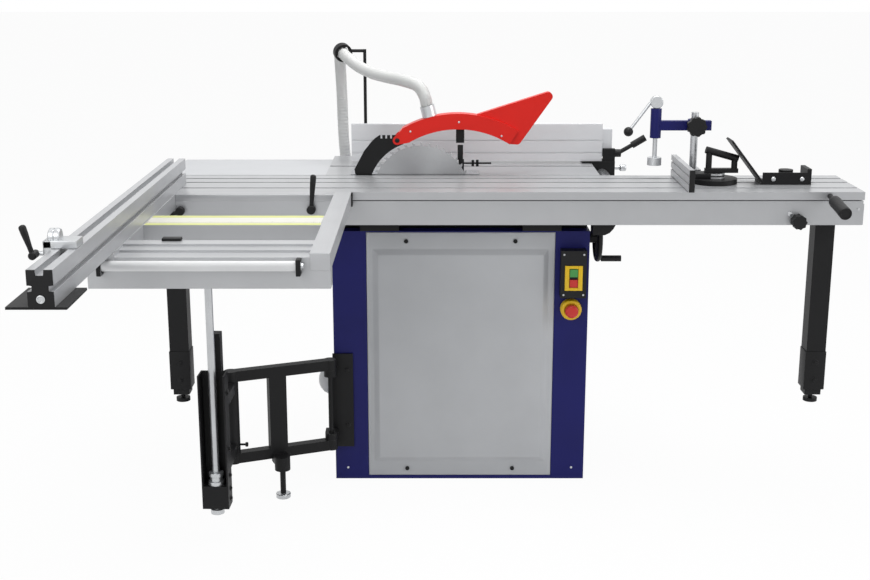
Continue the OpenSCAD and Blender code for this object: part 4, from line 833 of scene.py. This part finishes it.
def add_floor():
    """White floor that keeps a little of its shading, so that the shadow stays."""
    white_share, half = 0.96, 30
    material = bpy.data.materials.new("pale_floor")
    material.use_nodes = True
    tree = material.node_tree
    tree.nodes.clear()
    matt = add(tree, "BsdfDiffuse", {"Color": (0.86, 0.86, 0.86, 1)}).outputs[0]
    white = add(tree, "Emission", {"Color": (1, 1, 1, 1), "Strength": 1.0}).outputs[0]
    share = maths(tree, "MULTIPLY", seen_ray(tree), white_share)
    mixed = add(tree, "MixShader", {0: share, 1: matt, 2: white}).outputs[0]
    add(tree, "OutputMaterial", {"Surface": mixed})
    mesh = bpy.data.meshes.new("floor")
    corners = [(-half, -half, 0), (half, -half, 0), (half, half, 0), (-half, half, 0)]
    mesh.from_pydata(corners, [], [(0, 1, 2, 3)])
    mesh.materials.append(material)
    floor = bpy.data.objects.new("floor", mesh)
    scene.collection.objects.link(floor)


def add_world():
    """Soft sky light, with white behind the saw where a seen ray meets it."""
    sky_strength = 0.25
    world = bpy.data.worlds.new("studio")
    world.use_nodes = True
    tree = world.node_tree
    tree.nodes.clear()
    soft = add(tree, "Background", {"Color": (0.9, 0.95, 1.0, 1), "Strength": sky_strength}).outputs[0]
    white = add(tree, "Background", {"Color": (1, 1, 1, 1), "Strength": 1.0}).outputs[0]
    mixed = add(tree, "MixShader", {0: seen_ray(tree), 1: soft, 2: white}).outputs[0]
    add(tree, "OutputWorld", {"Surface": mixed})
    scene.world = world


def add_lamps():
    """Three area lamps aimed at the saw: place, size in metres and power in watts."""
    target = Vector((0, -0.3, 0.6))
    for name, place, size, power in (
            ("key", (-2.2, -3.8, 2.7), 2.5, 50), ("fill", (4.0, -1.8, 2.0), 2.5, 48),
            ("top", (0.3, -0.1, 4.6), 3.0, 150)):
        light = bpy.data.lights.new(name, "AREA")
        light.size = size
        light.energy = power
        lamp = bpy.data.objects.new(name, light)
        lamp.location = place
        lamp.rotation_euler = (target - Vector(place)).to_track_quat("-Z", "Y").to_euler()
        scene.collection.objects.link(lamp)


# The making, camera and cord first
add_camera()
add_hose()
paint_the_part()
add_panel()
add_switch()
add_estop()
add_guard_screws()
add_scale()
add_fence_cap()
add_leg_collars()
add_stop()
add_clamp_lever()
add_push_grip()
add_levers()
add_adjuster()
add_rip_adjuster()
add_post_nuts()
add_arm_bolts()
add_arm_foot()
add_hinge_plate_bolts()
add_roller_brackets()
add_outrigger_caps()
add_beam_caps()
add_mitre_covers()
add_outrigger_covers()
add_beam_lug()
add_tilt_dome()
add_bracket_and_shade_strip()
add_carriage_screws()
add_beam_screws()
add_column_screws()
add_floor()
add_world()
add_lamps()
scene.view_settings.view_transform = "Standard"
